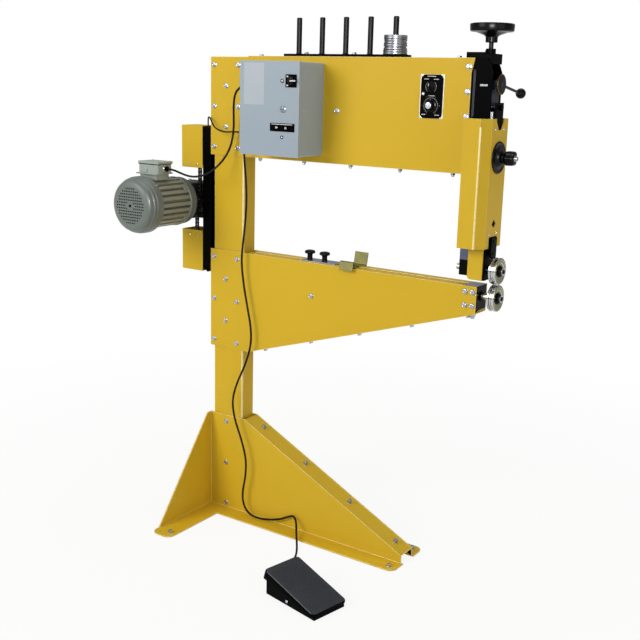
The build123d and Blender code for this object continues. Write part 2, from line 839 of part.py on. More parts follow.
# Right-angle gearbox: square case with turned end covers and lugs that reach the channel
gearbox_face_x = gearbox_x + gearbox_half_x
with BuildPart() as gearbox_housing:
    with BuildSketch(Plane.XZ.offset(-gearbox_half_y)):
        with Locations((gearbox_x, drive_z)):
            RectangleRounded(2 * gearbox_half_x, 2 * gearbox_half_z, gearbox_wall_round)
    extrude(amount=2 * gearbox_half_y)
    rod((gearbox_x, gearbox_half_y, drive_z), (0, 1, 0), gearbox_end_depth, gearbox_end_radius)
    rod((gearbox_x - gearbox_half_x - gearbox_end_depth, 0, drive_z), (1, 0, 0), gearbox_end_depth,
        gearbox_end_radius)
    for side in (-1, 1):
        lug_z = sorted((drive_z + side * gearbox_lug_low, drive_z + side * gearbox_lug_high))
        block((gearbox_x, channel_rear_x), (-gearbox_lug_half, gearbox_lug_half), lug_z)
    rod((gearbox_x, 0, drive_z), (1, 0, 0), gearbox_half_x, output_shaft_radius + shaft_fit,
        Mode.SUBTRACT)
save(gearbox_housing, "gearbox_housing")

# Gearbox output shaft with its two chain wheels
with BuildPart() as gearbox_output:
    sprocket(upper_chain_x, drive_z, chain_pitch)
    sprocket(lower_chain_x, drive_z, chain_pitch)
    output_tip_x = upper_chain_x + sprocket_hub_length
    rod((gearbox_x + gearbox_end_radius, 0, drive_z), (1, 0, 0),
        output_tip_x - gearbox_x - gearbox_end_radius, output_shaft_radius)
save(gearbox_output, "gearbox_output")

# Motor: finned body with its drive-end bell and flange, bored for the rotor; four lugs at the other
# end fit inside the fan cover's rim, which narrows towards its face
hood_depth = hood_rear_y - hood_front_y
rim_taper = hood_wall / (hood_depth - hood_round - hood_wall)
cowl_lug_radius = hood_radius - hood_wall - cowl_lug_gap - cowl_lug_depth * rim_taper
with BuildPart() as motor_body:
    with BuildSketch(Plane.XZ.offset(-bell_y)):
        with Locations((gearbox_x, drive_z)):
            Circle(motor_radius)
            with PolarLocations(0, fin_count):
                with Locations(((motor_radius + motor_fin_radius) / 2 - sheet / 2, 0)):
                    Rectangle(motor_fin_radius - motor_radius + sheet, fin_thickness)
    extrude(amount=bell_y - hood_rear_y)
    with BuildSketch(Plane.XZ.offset(-hood_rear_y)):
        with Locations((gearbox_x, drive_z)):
            with PolarLocations(0, 4, start_angle=45):
                with Locations((hood_radius / 2, 0)):
                    Rectangle(hood_radius, cowl_lug_width)
            Circle(cowl_lug_radius, mode=Mode.INTERSECT)
            Circle(motor_radius)
    extrude(amount=cowl_lug_depth)
    turned((gearbox_x, motor_flange_y, drive_z), (0, -1, 0),
           [(0, 0), (motor_flange_y - bell_y, 0), (motor_flange_y - bell_y, bell_radius),
            (motor_flange_width, bell_radius), (motor_flange_width * 3 / 4, gearbox_end_radius),
            (0, gearbox_end_radius)])
    rod((gearbox_x, motor_flange_y, drive_z), (0, -1, 0),
        motor_flange_y - hood_rear_y + cowl_lug_depth, rotor_radius + shaft_fit, Mode.SUBTRACT)
    terminal_seat = drive_z + motor_fin_radius
    block((gearbox_x - terminal_half_x, gearbox_x + terminal_half_x), terminal_y,
          (drive_z + motor_radius - sheet, terminal_seat))
save(motor_body, "motor_body")

# Fan cover: turned hood with a rounded shoulder and rings of slots in its face
with BuildPart() as motor_fan_cover:
    turned((gearbox_x, hood_rear_y, drive_z), (0, -1, 0),
           [(0, hood_radius), (hood_depth - hood_round, hood_radius - hood_wall),
            (hood_depth - hood_round / 3, hood_radius - hood_wall - hood_round / 3),
            (hood_depth, hood_radius - hood_wall - hood_round), (hood_depth, 0),
            (hood_depth - hood_wall, 0), (hood_depth - hood_wall, hood_radius - hood_wall - hood_round),
            (hood_depth - hood_round / 3 - hood_wall, hood_radius - 2 * hood_wall - hood_round / 3),
            (hood_depth - hood_round - hood_wall, hood_radius - 2 * hood_wall),
            (0, hood_radius - hood_wall)])
    across = [(k - (grille_columns - 1) / 2) * grille_pitch[0] for k in range(grille_columns)]
    down = [(k - (grille_rows - 1) / 2) * grille_pitch[1] for k in range(grille_rows)]
    slot_places = [(gearbox_x + x, drive_z + z) for x in across for z in down
                   if hypot(x, z) > grille_hub_radius
                   and hypot(abs(x) + grille_slot[0] / 2, abs(z) + grille_slot[1] / 2) < grille_radius]
    with BuildSketch(Plane.XZ.offset(-hood_front_y)):
        with Locations(*slot_places):
            Rectangle(*grille_slot)
    extrude(amount=-2 * hood_wall, mode=Mode.SUBTRACT)
    rod((gearbox_x, hood_front_y + hood_wall, drive_z), (0, -1, 0), 2 * hood_wall, hood_hub_radius / 2)
save(motor_fan_cover, "motor_fan_cover")

# Rotor shaft with the cooling fan
with BuildPart() as motor_fan:
    rod((gearbox_x, fan_y, drive_z), (0, 1, 0), motor_flange_y - fan_y - motor_flange_width,
        rotor_radius)
    rod((gearbox_x, fan_y - fan_depth / 2, drive_z), (0, 1, 0), fan_depth, fan_hub_radius)
    for k in range(fan_blades):
        turn = 2 * pi * k / fan_blades
        blade_plane = Plane(origin=(gearbox_x, fan_y - fan_depth / 2, drive_z),
                            x_dir=(cos(turn), 0, sin(turn)), z_dir=(0, 1, 0))
        with BuildSketch(blade_plane):
            with Locations(((fan_hub_radius + fan_radius) / 2 - fan_blade, 0)):
                Rectangle(fan_radius - fan_hub_radius + 2 * fan_blade, fan_blade)
        extrude(amount=fan_depth)
save(motor_fan, "motor_fan")

# Terminal box on the motor: base, body and lid as one casting
with BuildPart() as terminal_box:
    lid_low = terminal_top - terminal_lid
    y_low, y_high = terminal_y
    for bottom, top, grow in ((terminal_seat, terminal_seat + terminal_base, terminal_overhang),
                              (terminal_seat + terminal_base, lid_low, 0),
                              (lid_low, terminal_top, terminal_overhang)):
        with BuildSketch(Plane.XY.offset(bottom)):
            with Locations((gearbox_x, (y_low + y_high) / 2)):
                RectangleRounded(2 * (terminal_half_x + grow), y_high - y_low + 2 * grow, terminal_round)
        extrude(amount=top - bottom)
save(terminal_box, "terminal_box")

# Head housing: web behind the roll slide, cheeks above it, top block and screw bearing
with BuildPart() as head_housing:
    block((housing_web_x, housing_web_x + housing_web), (-inner_half, inner_half),
          (housing_bottom, housing_top))
    block((housing_web_x, carrier_x[0] - rail_gap), (-rail_half_y, rail_half_y), (housing_bottom, rail_top))
    cheek = [(cheek_rear_x, housing_side_bottom), (housing_side_x, housing_side_bottom),
             (housing_side_x, housing_top - housing_chamfer[1]),
             (housing_side_x - housing_chamfer[0] / 2, housing_top), (top_block_x[0], housing_top),
             (top_block_x[0], housing_top - 2 * sheet), (cheek_rear_x, housing_top - 2 * sheet)]
    for side in (-1, 1):
        low, high = sorted((side * inner_half, side * (inner_half - housing_wall)))
        prism(Plane.XZ.offset(-low), cheek, -(high - low))
    block(top_block_x, (-top_block_half_y, top_block_half_y), (housing_top - sheet, top_block_top))
    block(bearing_block_x, (-top_block_half_y, top_block_half_y),
          (bearing_block_bottom, bearing_block_top))
    rod((screw_x, 0, bearing_block_top), (0, 0, 1), collar_top - bearing_block_top, collar_half)
    rod((screw_x, 0, bearing_block_bottom - sheet), (0, 0, 1), collar_top, screw_radius + screw_fit,
        Mode.SUBTRACT)
    rod((housing_web_x, 0, upper_shaft_z), (1, 0, 0), housing_web, shaft_radius + column_wall,
        Mode.SUBTRACT)
save(head_housing, "head_housing")


def cover_outline(inset):
    """Half-octagon plan of the head cover, open at the back."""
    facet = tan(pi / 8) * inset
    return [(cover_x, -cover_half_y + inset), (cover_facet_x - facet, -cover_half_y + inset),
            (cover_end_x - inset, -cover_end_half_y + facet), (cover_end_x - inset, cover_end_half_y - facet),
            (cover_facet_x - facet, cover_half_y - inset), (cover_x, cover_half_y - inset)]


# Head cover: folded sheet with a tapered notch for the lift plate and a window
with BuildPart() as head_cover:
    prism(Plane.XY.offset(cover_bottom), cover_outline(0), cover_top - cover_bottom)
    prism(Plane.XY.offset(cover_bottom), cover_outline(cover_wall), cover_top - cover_bottom,
          Mode.SUBTRACT)
    for side in (-1, 1):
        y_range = sorted((side * (cover_half_y - cover_wall), side * (inner_half + cover_seat_gap)))
        block((cover_x, cover_x + cover_wall), y_range, (cover_bottom, cover_top))
    notch = [(-cover_notch_half, cover_top), (cover_notch_half, cover_top),
             (cover_notch_half, cover_top - cover_notch_depth / 4),
             (cover_notch_tip_half, cover_top - cover_notch_depth),
             (-cover_notch_tip_half, cover_top - cover_notch_depth),
             (-cover_notch_half, cover_top - cover_notch_depth / 4)]
    face = Plane.YZ.offset(cover_end_x)
    prism(face, notch, -cover_wall, Mode.SUBTRACT)
    with BuildSketch(face):
        with Locations((0, (cover_bottom + cover_foot_notch_top) / 2)):
            Rectangle(2 * cover_foot_notch_half, cover_foot_notch_top - cover_bottom)
        with Locations(Location((0, cover_window_z), 45)):
            Rectangle(cover_window, cover_window)
        with Locations((0, upper_shaft_z)):
            Circle(cover_shaft_hole)
        with Locations((-cover_screw_y, cover_screw_z), (cover_screw_y, cover_screw_z)):
            Circle(cover_screw_radius)
    extrude(amount=-cover_wall, mode=Mode.SUBTRACT)
save(head_cover, "head_cover")

# Handwheel with a cupped web, and the adjusting screw below it
with BuildPart() as handwheel:
    rim_inner = wheel_radius - wheel_rim_width
    turned((screw_x, 0, 0), (0, 0, 1),
           [(wheel_hub_bottom, screw_radius + shaft_fit), (wheel_hub_bottom, wheel_hub_radius),
            (wheel_hub_low, wheel_hub_radius), (wheel_rim_bottom, rim_inner),
            (wheel_rim_bottom, wheel_radius), (wheel_rim_top - wheel_web / 2, wheel_radius),
            (wheel_rim_top, rim_inner + wheel_web), (wheel_rim_top, rim_inner),
            (wheel_rim_bottom + wheel_web, rim_inner), (wheel_hub_low + wheel_web, wheel_hub_radius),
            (wheel_rim_top, wheel_hub_radius), (wheel_rim_top, screw_radius + shaft_fit)])
save(handwheel, "handwheel")

with BuildPart() as adjusting_screw:
    rod((screw_x, 0, adjuster_top - adjuster_half_y), (0, 0, 1),
        wheel_rim_top - adjuster_top + adjuster_half_y, screw_radius)
save(adjusting_screw, "adjusting_screw")

# Adjuster block that the screw raises, with the bracket that carries the lift cam
with BuildPart() as adjuster_block:
    block(adjuster_x, (-adjuster_half_y, adjuster_half_y), (adjuster_bottom, adjuster_top))
    chamfer(edges().filter_by(Axis.X).group_by(Axis.Z)[0], sheet)
    rod((screw_x, 0, adjuster_bottom - sheet), (0, 0, 1), adjuster_top, screw_radius + screw_fit,
        Mode.SUBTRACT)
    bracket = [(adjuster_x[1] - 2 * sheet, adjuster_top - sheet), (cam_x[0] - running_gap, adjuster_top - sheet),
               (cam_x[0] - running_gap, cam_z + cam_pin_radius * 3 / 2),
               (adjuster_x[1] - 2 * sheet, cam_z + cam_pin_radius * 3 / 2)]
    prism(Plane.XZ.offset(cam_bracket_half_y), bracket, -2 * cam_bracket_half_y)
    rod((cam_x[0] - sheet, 0, cam_z), (1, 0, 0), cam_x[1] - cam_x[0] + sheet, cam_pin_radius)
save(adjuster_block, "adjuster_block")

# Lift lever: cam disc on its pin, a radial arm towards the rear and a ball
with BuildPart() as lift_lever:
    turned((cam_x[0], 0, cam_z), (1, 0, 0),
           [(0, cam_pin_radius + shaft_fit), (cam_x[1] - cam_x[0], cam_pin_radius + shaft_fit),
            (cam_x[1] - cam_x[0], cam_radius - chain_plate), (cam_x[1] - cam_x[0] - chain_plate, cam_radius),
            (chain_plate, cam_radius), (0, cam_radius - chain_plate)])
    drop = radians(lever_drop_angle)
    lever_direction = (0, cos(drop), -sin(drop))
    lever_x = (cam_x[0] + cam_x[1]) / 2
    lever_root = cam_radius * lever_root_share
    rod((lever_x, lever_root * cos(drop), cam_z - lever_root * sin(drop)), lever_direction,
        lever_reach - lever_root, lever_radius)
    with Locations((lever_x, lever_reach * cos(drop), cam_z - lever_reach * sin(drop))):
        Sphere(lever_ball_radius)
save(lift_lever, "lift_lever")

# Lift plate: closes the roll carrier's end and runs up past the shaft to the cam
with BuildPart() as lift_plate:
    shoulder = carrier_half_y - carrier_wall
    outline = [(-shoulder, carrier_bottom), (shoulder, carrier_bottom),
               (shoulder, lift_plate_shoulder_z), (lift_plate_half_y, lift_plate_neck_z),
               (lift_plate_half_y, lift_plate_top), (-lift_plate_half_y, lift_plate_top),
               (-lift_plate_half_y, lift_plate_neck_z), (-shoulder, lift_plate_shoulder_z)]
    thickness = lift_plate_x[1] - lift_plate_x[0]
    prism(Plane.YZ.offset(lift_plate_x[0]), outline, thickness)
    with BuildSketch(Plane.YZ.offset(lift_plate_x[0])):
        with Locations(Location((0, upper_shaft_z - lift_travel / 2), 90)):
            SlotCenterToCenter(lift_travel, 2 * lift_slot_half)
        with Locations((0, roll_shaft_z)):
            Circle(shaft_radius + shaft_fit)
        with Locations((0, jackshaft_z)):
            Circle(jackshaft_radius + shaft_fit)
    extrude(amount=thickness, mode=Mode.SUBTRACT)
    rod((lift_plate_x[1], 0, lift_plate_top - 2 * lift_nub_radius), (1, 0, 0), lift_nub_length,
        lift_nub_radius)
    block((lift_plate_x[1], carrier_keeper_x[0]), (-carrier_keeper_half_y, carrier_keeper_half_y),
          (jackshaft_z + jackshaft_radius + running_gap, carrier_keeper_neck_top))
    with BuildSketch(Plane.YZ.offset(carrier_keeper_x[0])):
        with Locations((0, (carrier_keeper_z[0] + carrier_keeper_z[1]) / 2)):
            RectangleRounded(2 * carrier_keeper_half_y, carrier_keeper_z[1] - carrier_keeper_z[0], sheet)
    extrude(amount=carrier_keeper_x[1] - carrier_keeper_x[0])
save(lift_plate, "lift_plate")

# Roll carrier: folded box that slides on the head's web, rounded at its lower rear corner
with BuildPart() as roll_carrier:
    with BuildSketch(Plane.XZ.offset(-carrier_half_y)):
        with Locations(((carrier_x[0] + carrier_x[1]) / 2, (carrier_bottom + carrier_top) / 2)):
            Rectangle(carrier_x[1] - carrier_x[0], carrier_top - carrier_bottom)
        fillet(vertices().group_by(Axis.Z)[0].sort_by(Axis.X)[0], carrier_round)
    extrude(amount=2 * carrier_half_y)
    block((carrier_x[0] + carrier_wall, carrier_x[1]), (carrier_wall - carrier_half_y, carrier_half_y - carrier_wall),
          (carrier_bottom + carrier_wall, carrier_top), Mode.SUBTRACT)
    rod((carrier_x[0], 0, roll_shaft_z), (1, 0, 0), carrier_wall, roll_shaft_inner_radius + shaft_fit,
        Mode.SUBTRACT)
    rod((carrier_x[0], 0, jackshaft_z), (1, 0, 0), carrier_wall, jackshaft_radius + shaft_fit,
        Mode.SUBTRACT)
    block(rear_block_x, (-rear_block_half_y, rear_block_half_y), rear_block_z)
    block((rear_block_x[0], carrier_x[0]), (-rear_block_half_y, rear_block_half_y), rear_slide_z)
    rod((rear_block_x[0], 0, roll_shaft_z), (1, 0, 0), carrier_x[0] - rear_block_x[0],
        roll_shaft_inner_radius + shaft_fit, Mode.SUBTRACT)
save(roll_carrier, "roll_carrier")

# Jackshaft: head chain wheel and the gear that turns the upper roll shaft the other way
with BuildPart() as jackshaft:
    sprocket(head_chain_x, jackshaft_z, head_chain_pitch)
    gear(gear_x, jackshaft_z, 0)
    rod((carrier_x[0], 0, jackshaft_z), (1, 0, 0), lift_plate_x[1] - carrier_x[0], jackshaft_radius)
save(jackshaft, "jackshaft")

with BuildPart() as upper_roll_shaft:
    gear(gear_x, roll_shaft_z, 1 / 2)
    rod((roll_shaft_rear_x, 0, roll_shaft_z), (1, 0, 0), gear_x + gear_width - roll_shaft_rear_x,
        roll_shaft_inner_radius)
    rod((gear_x + gear_width, 0, roll_shaft_z), (1, 0, 0), shaft_tip_x - gear_x - gear_width,
        shaft_radius)
save(upper_roll_shaft, "upper_roll_shaft")


def forming_roll(z_centre, bead):
    """Forming roll and its nut: two rims with a hollow, or a bead, between them."""
    waist = roll_radius - roll_groove
    middle = (roll_width - roll_groove) / 2
    turned((roll_x, 0, z_centre), (1, 0, 0),
           [(0, shaft_radius + shaft_fit), (0, roll_radius - roll_groove / 2),
            (roll_groove / 2, roll_radius), (roll_rim_width, roll_radius), (roll_rim_width + roll_groove / 2, waist),
            (middle, waist + bead), (middle + roll_groove, waist + bead),
            (roll_width - roll_rim_width - roll_groove / 2, waist),
            (roll_width - roll_rim_width, roll_radius), (roll_width - roll_groove / 2, roll_radius),
            (roll_width, roll_radius - roll_groove / 2), (roll_width, roll_hub_radius + roll_groove),
            (roll_width - roll_groove, roll_hub_radius), (roll_width - roll_groove, shaft_radius + shaft_fit)])
    with BuildSketch(Plane.YZ.offset(roll_x + roll_width - roll_groove)) as nut:
        with Locations((0, z_centre)):
            RegularPolygon(nut_flats / 2, 6, major_radius=False)
            Circle(shaft_radius + shaft_fit, mode=Mode.SUBTRACT)
    extrude(nut.sketch, amount=nut_height)


with BuildPart() as upper_roll:
    forming_roll(roll_shaft_z, 0)
save(upper_roll, "upper_roll")

with BuildPart() as lower_roll:
    forming_roll(lower_shaft_z, roll_groove / 2)
save(lower_roll, "lower_roll")


def plain_chain(x_middle, z_top, z_bottom, radius, half_height, width):
    """Hidden chain as a plain band round two wheels."""
    with BuildSketch(Plane.YZ.offset(x_middle - width / 2)) as band:
        for grow, mode in ((half_height, Mode.ADD), (-half_height, Mode.SUBTRACT)):
            with Locations(Location((0, (z_top + z_bottom) / 2), 90)):
                SlotCenterToCenter(z_top - z_bottom, 2 * (radius + grow), mode=mode)
    extrude(band.sketch, amount=width)


# Head chain from the upper shaft down to the jackshaft, as its two rows of plates
with BuildPart() as head_chain:
    for side in (-1, 1):
        plain_chain(head_chain_x + side * (chain_inner_width + chain_plate) / 2, upper_shaft_z, jackshaft_z,
                    head_chain_radius, link_eye_share * head_chain_pitch, chain_plate)
    with BuildSketch(Plane.YZ.offset(head_chain_x - chain_inner_width / 2)):
        with Locations(*roller_centres(upper_shaft_z, jackshaft_z, head_chain_pitch,
                                       head_chain_straight_links)[::2]):
            RegularPolygon(roller_share * head_chain_pitch, 4)
    extrude(amount=chain_inner_width)
save(head_chain, "head_chain")

# Knob on the upper shaft's end for turning the rolls by hand
with BuildPart() as shaft_knob:
    neck_low = cover_end_x + end_boss_width + running_gap
    rod((knob_x[0], 0, upper_shaft_z), (1, 0, 0), knob_x[1] - knob_x[0], knob_radius)
    with BuildSketch(Plane.YZ.offset(knob_x[0])):
        with Locations((0, upper_shaft_z)):
            with PolarLocations(knob_radius + knob_flute_radius / 2, knob_flutes):
                Circle(knob_flute_radius)
    extrude(amount=knob_x[1] - knob_x[0], mode=Mode.SUBTRACT)
    rod((neck_low, 0, upper_shaft_z), (1, 0, 0), knob_x[0] - neck_low, knob_neck_radius)
    rod((neck_low, 0, upper_shaft_z), (1, 0, 0), knob_x[0] - neck_low, shaft_radius + shaft_fit,
        Mode.SUBTRACT)
    rod((knob_x[0], 0, upper_shaft_z), (1, 0, 0), knob_x[1] - knob_x[0], knob_stub_radius + shaft_fit,
        Mode.SUBTRACT)
save(shaft_knob, "shaft_knob")

# Control box: sheet shell open to the front, with its share of the door hinges
box_body_front = box_front_y + door_skirt + door_gap
hinge_x = box_x[0] - hinge_gap
hinge_y = box_front_y + door_skirt
hinge_places = [box_z[0] + share * (box_z[1] - box_z[0]) for share in hinge_places_share]
with BuildPart() as control_box:
    block((box_x[0] + door_inset, box_x[1] - door_inset), (box_body_front, -half_depth),
          (box_z[0] + door_inset, box_z[1] - door_inset))
    fillet(edges().filter_by(Axis.Y), box_round)
    inset = door_inset + box_wall
    block((box_x[0] + inset, box_x[1] - inset), (box_body_front, -half_depth - box_wall),
          (box_z[0] + inset, box_z[1] - inset), Mode.SUBTRACT)
    for hinge_z in hinge_places:
        rod((hinge_x, hinge_y, hinge_z - hinge_length), (0, 0, 1), hinge_length, hinge_radius)
        rod((hinge_x, hinge_y, hinge_z), (0, 0, 1), hinge_length, hinge_pin_radius)
        block((hinge_x, box_x[0] + inset), (hinge_y + hinge_leaf / 2 + door_gap, hinge_y + hinge_radius),
              (hinge_z - hinge_length, hinge_z))
save(control_box, "control_box")

# Door: shallow tray over the box's mouth, with its hinge barrels
with BuildPart() as control_box_door:
    block(box_x, (box_front_y, box_front_y + door_skirt), box_z)
    fillet(edges().filter_by(Axis.Y), box_round)
    block((box_x[0] + box_wall, box_x[1] - box_wall), (box_front_y + box_wall, box_front_y + door_skirt),
          (box_z[0] + box_wall, box_z[1] - box_wall), Mode.SUBTRACT)
    for hinge_z in hinge_places:
        low = hinge_z + cover_seat_gap
        rod((hinge_x, hinge_y, low), (0, 0, 1), hinge_length - cover_seat_gap, hinge_radius)
        block((hinge_x, box_x[0] + box_wall), (hinge_y - hinge_radius, hinge_y - hinge_radius + hinge_leaf),
              (low, hinge_z + hinge_length))
        rod((hinge_x, hinge_y, hinge_z), (0, 0, 1), 2 * hinge_length, hinge_pin_radius + shaft_fit,
            Mode.SUBTRACT)
    rod((latch_place[0], box_front_y, latch_place[1]), (0, 1, 0), box_wall,
        latch_stem_radius + shaft_fit, Mode.SUBTRACT)
save(control_box_door, "control_box_door")

# Quarter-turn latch through the door
with BuildPart() as door_latch:
    rod((latch_place[0], box_front_y, latch_place[1]), (0, -1, 0), latch_height, latch_radius)
    block((latch_place[0] - selector_grip / 4, latch_place[0] + selector_grip / 4),
          (box_front_y - latch_height - box_wall, box_front_y - latch_height),
          (latch_place[1] - latch_stem_radius, latch_place[1] + latch_stem_radius))
    rod((latch_place[0], box_front_y, latch_place[1]), (0, 1, 0), 2 * box_wall + latch_tongue[2],
        latch_stem_radius)
    tongue_y = box_front_y + 2 * box_wall
    block((latch_place[0], latch_place[0] + latch_tongue[0]), (tongue_y, tongue_y + latch_tongue[2]),
          (latch_place[1] - latch_tongue[1] / 2, latch_place[1] + latch_tongue[1] / 2))
save(door_latch, "door_latch")

# Fittings on the door: switch plate, light plate and two lights
switch_place = ((switch_plate_x[0] + switch_plate_x[1]) / 2, (switch_plate_z[0] + switch_plate_z[1]) / 2)
with BuildPart() as door_fittings:
    block(switch_plate_x, (box_front_y - switch_plate_depth, box_front_y), switch_plate_z)
    block(light_plate_x, (box_front_y - light_plate_depth, box_front_y), light_plate_z)
    for x, z in light_places:
        turned((x, box_front_y - light_plate_depth, z), (0, -1, 0),
               [(0, 0), (light_height, 0), (light_height, light_radius * 3 / 4),
                (light_height / 2, light_radius), (0, light_radius)])
save(door_fittings, "door_fittings")

# Rotary isolator on its plate
with BuildPart() as isolator_switch:
    seat_y = box_front_y - switch_plate_depth
    rod((switch_place[0], seat_y, switch_place[1]), (0, -1, 0), switch_height / 2, switch_radius)
    grip = (selector_grip / 2, switch_radius)
    block((switch_place[0] - grip[0], switch_place[0] + grip[0]), (seat_y - switch_height, seat_y - switch_height / 2),
          (switch_place[1] - grip[1], switch_place[1] + grip[1]))
save(isolator_switch, "isolator_switch")

# Inside the box: back plate with the speed drive and a terminal strip
with BuildPart() as box_internals:
    back_y = -half_depth - box_wall
    block((box_x[0] + 2 * inset, box_x[1] - 2 * inset), (back_y - back_plate, back_y),
          (box_z[0] + 2 * inset, box_z[1] - 2 * inset))
    block(inverter_x, (inverter_y[0], back_y - back_plate), inverter_z)
    rib_pitch = (inverter_x[1] - inverter_x[0]) / (inverter_ribs + 1)
    for k in range(inverter_ribs):
        rib_x = inverter_x[0] + (k + 1) * rib_pitch
        block((rib_x - inverter_rib / 2, rib_x + inverter_rib / 2), (inverter_y[0], inverter_y[0] + 2 * sheet),
              (inverter_z[1] - 4 * sheet, inverter_z[1]), Mode.SUBTRACT)
    block((inverter_x[0], box_x[1] - 4 * inset), (back_y - back_plate - 4 * sheet, back_y - back_plate),
          terminal_rail_z)
save(box_internals, "box_internals")

# Control panel on the arm: chamfered face on a square-cornered back plate, four screws and an indicator
with BuildPart() as control_panel:
    middle = ((panel_x[0] + panel_x[1]) / 2, (panel_z[0] + panel_z[1]) / 2)
    size = (panel_x[1] - panel_x[0], panel_z[1] - panel_z[0])
    with BuildSketch(Plane.XZ.offset(half_depth)):
        with Locations(middle):
            Rectangle(*size)
    extrude(amount=panel_back)
    with BuildSketch(Plane.XZ.offset(half_depth)) as face_plate:
        with Locations(middle):
            Rectangle(*size)
        chamfer(face_plate.vertices(), panel_chamfer)
    extrude(face_plate.sketch, amount=panel_depth)
    with BuildSketch(Plane.XZ.offset(half_depth + panel_depth)):
        with Locations(middle):
            with GridLocations(size[0] - 2 * panel_screw_inset, size[1] - 2 * panel_screw_inset, 2, 2):
                Circle(panel_screw_radius)
    extrude(amount=panel_screw_height)
    rod((indicator_place[0], -half_depth - panel_depth, indicator_place[1]), (0, -1, 0),
        indicator_height, indicator_radius)
save(control_panel, "control_panel")

with BuildPart() as selector_knob:
    seat_y = -half_depth - panel_depth
    x, z = selector_place
    rod((x, seat_y, z), (0, -1, 0), selector_height / 2, selector_radius)
    block((x - selector_grip / 2, x + selector_grip / 2), (seat_y - selector_height, seat_y - selector_height / 2),
          (z - selector_radius, z + selector_radius))
save(selector_knob, "selector_knob")

with BuildPart() as speed_dial:
    turned((dial_place[0], seat_y, dial_place[1]), (0, -1, 0),
           [(0, 0), (dial_height, 0), (dial_height, dial_top_radius - chain_plate),
            (dial_height - chain_plate, dial_top_radius), (dial_skirt + chain_plate, dial_top_radius),
            (dial_skirt, dial_radius), (0, dial_radius)])
save(speed_dial, "speed_dial")

# Die rack: plate on the arm with a row of posts
with BuildPart() as die_rack:
    block(rack_x, (-rack_half_y, rack_half_y), (arm_top, rack_top))
    with BuildSketch(Plane.XY.offset(rack_top)):
        with Locations(*post_places):
            Circle(post_radius)
    extrude(amount=post_top - rack_top)
    chamfer(edges().group_by(Axis.Z)[-1], post_chamfer)
save(die_rack, "die_rack")

# Stored dies, stacked on the last post
with BuildPart() as stored_dies:
    seat_z = rack_top
    for height in die_heights:
        groove = die_groove if height > min(die_heights) else 0
        turned((post_places[-1][0], 0, seat_z), (0, 0, 1),
               [(0, post_radius + die_bore_fit), (0, die_radius - die_groove / 2), (die_groove / 2, die_radius),
                (height / 3, die_radius), (height / 2, die_radius - groove - post_chamfer),
                (height * 2 / 3, die_radius), (height - die_groove / 2, die_radius),
                (height, die_radius - die_groove / 2), (height, post_radius + die_bore_fit)])
        seat_z += height + die_gap
save(stored_dies, "stored_dies")

# Fence: plate on the lower arm, and the nuts that clamp it under the slot
with BuildPart() as fence_bar:
    seat = lower_arm_top
    block(fence_x, (-fence_half_y, fence_half_y), (seat, seat + fence_thickness))
    nut_top = seat - sheet - fence_gap
    for x in fence_knob_x:
        block((x - fence_nut_half[0], x + fence_nut_half[0]), (-fence_nut_half[1], fence_nut_half[1]),
              (nut_top - fence_nut_thickness, nut_top))
        rod((x, 0, nut_top - fence_nut_thickness), (0, 0, 1), seat + fence_thickness - nut_top
            + fence_nut_thickness, fence_stud_radius + shaft_fit, Mode.SUBTRACT)
save(fence_bar, "fence_bar")


def fence_knob(x):
    """Lobed clamp knob with its stud through the bar into the nut below."""
    knob_seat = lower_arm_top + fence_thickness
    stud_low = lower_arm_top - sheet - fence_gap - fence_nut_thickness
    rod((x, 0, stud_low), (0, 0, 1), knob_seat - stud_low + fence_knob_neck_height, fence_stud_radius)
    rod((x, 0, knob_seat), (0, 0, 1), fence_knob_neck_height, fence_knob_neck)
    rod((x, 0, knob_seat + fence_knob_neck_height), (0, 0, 1), fence_knob_height - fence_knob_neck_height,
        fence_knob_radius)
    with BuildSketch(Plane.XY.offset(knob_seat + fence_knob_neck_height)) as flutes:
        with Locations((x, 0)):
            with PolarLocations(fence_knob_radius + knob_flute_radius / 2, 2 * knob_flutes):
                Circle(knob_flute_radius * 4 / 5)
    extrude(flutes.sketch, amount=fence_knob_height, mode=Mode.SUBTRACT)


with BuildPart() as fence_knob_left:
    fence_knob(fence_knob_x[0])
save(fence_knob_left, "fence_knob_left")

with BuildPart() as fence_knob_right:
    fence_knob(fence_knob_x[1])
save(fence_knob_right, "fence_knob_right")

# Guide bracket: strip bent into an upright paddle behind and a curled lip in front
with BuildPart() as guide_bracket:
    level = lower_arm_top + guide_thickness / 2
    with BuildSketch(Plane.YZ.offset(guide_x[0])):
        with BuildLine():
            FilletPolyline((guide_rear_y, guide_rear_top), (guide_rear_y - guide_bend, level),
                           (guide_front_y + 2 * guide_bend, level),
                           (guide_front_y + guide_bend, guide_front_top),
                           (guide_front_y - guide_bend / 4, guide_front_low), radius=guide_bend / 2)
        trace(line_width=guide_thickness)
    extrude(amount=guide_x[1] - guide_x[0])
    for x in guide_x:
        side = 1 if x == guide_x[1] else -1
        rod((x + side * (guide_waist_radius - guide_waist_depth), 0, lower_arm_top - sheet), (0, 0, 1),
            guide_rear_top, guide_waist_radius, Mode.SUBTRACT)
    rod(((guide_x[0] + guide_x[1]) / 2, 0, lower_arm_top - guide_bolt_shank), (0, 0, 1),
        guide_bolt_shank + guide_thickness + panel_depth, guide_bolt_radius)
save(guide_bracket, "guide_bracket")

# Foot pedal, in its own turned plane: local x runs from the cable end to the toe
pedal_plane = Plane(origin=(pedal_x, pedal_y, 0), x_dir=(cos(radians(pedal_yaw)), sin(radians(pedal_yaw)), 0))
pedal_side = Plane(origin=pedal_plane.origin, x_dir=pedal_plane.x_dir, z_dir=pedal_plane.y_dir * -1)
half_length = pedal_length / 2
half_width = pedal_width / 2


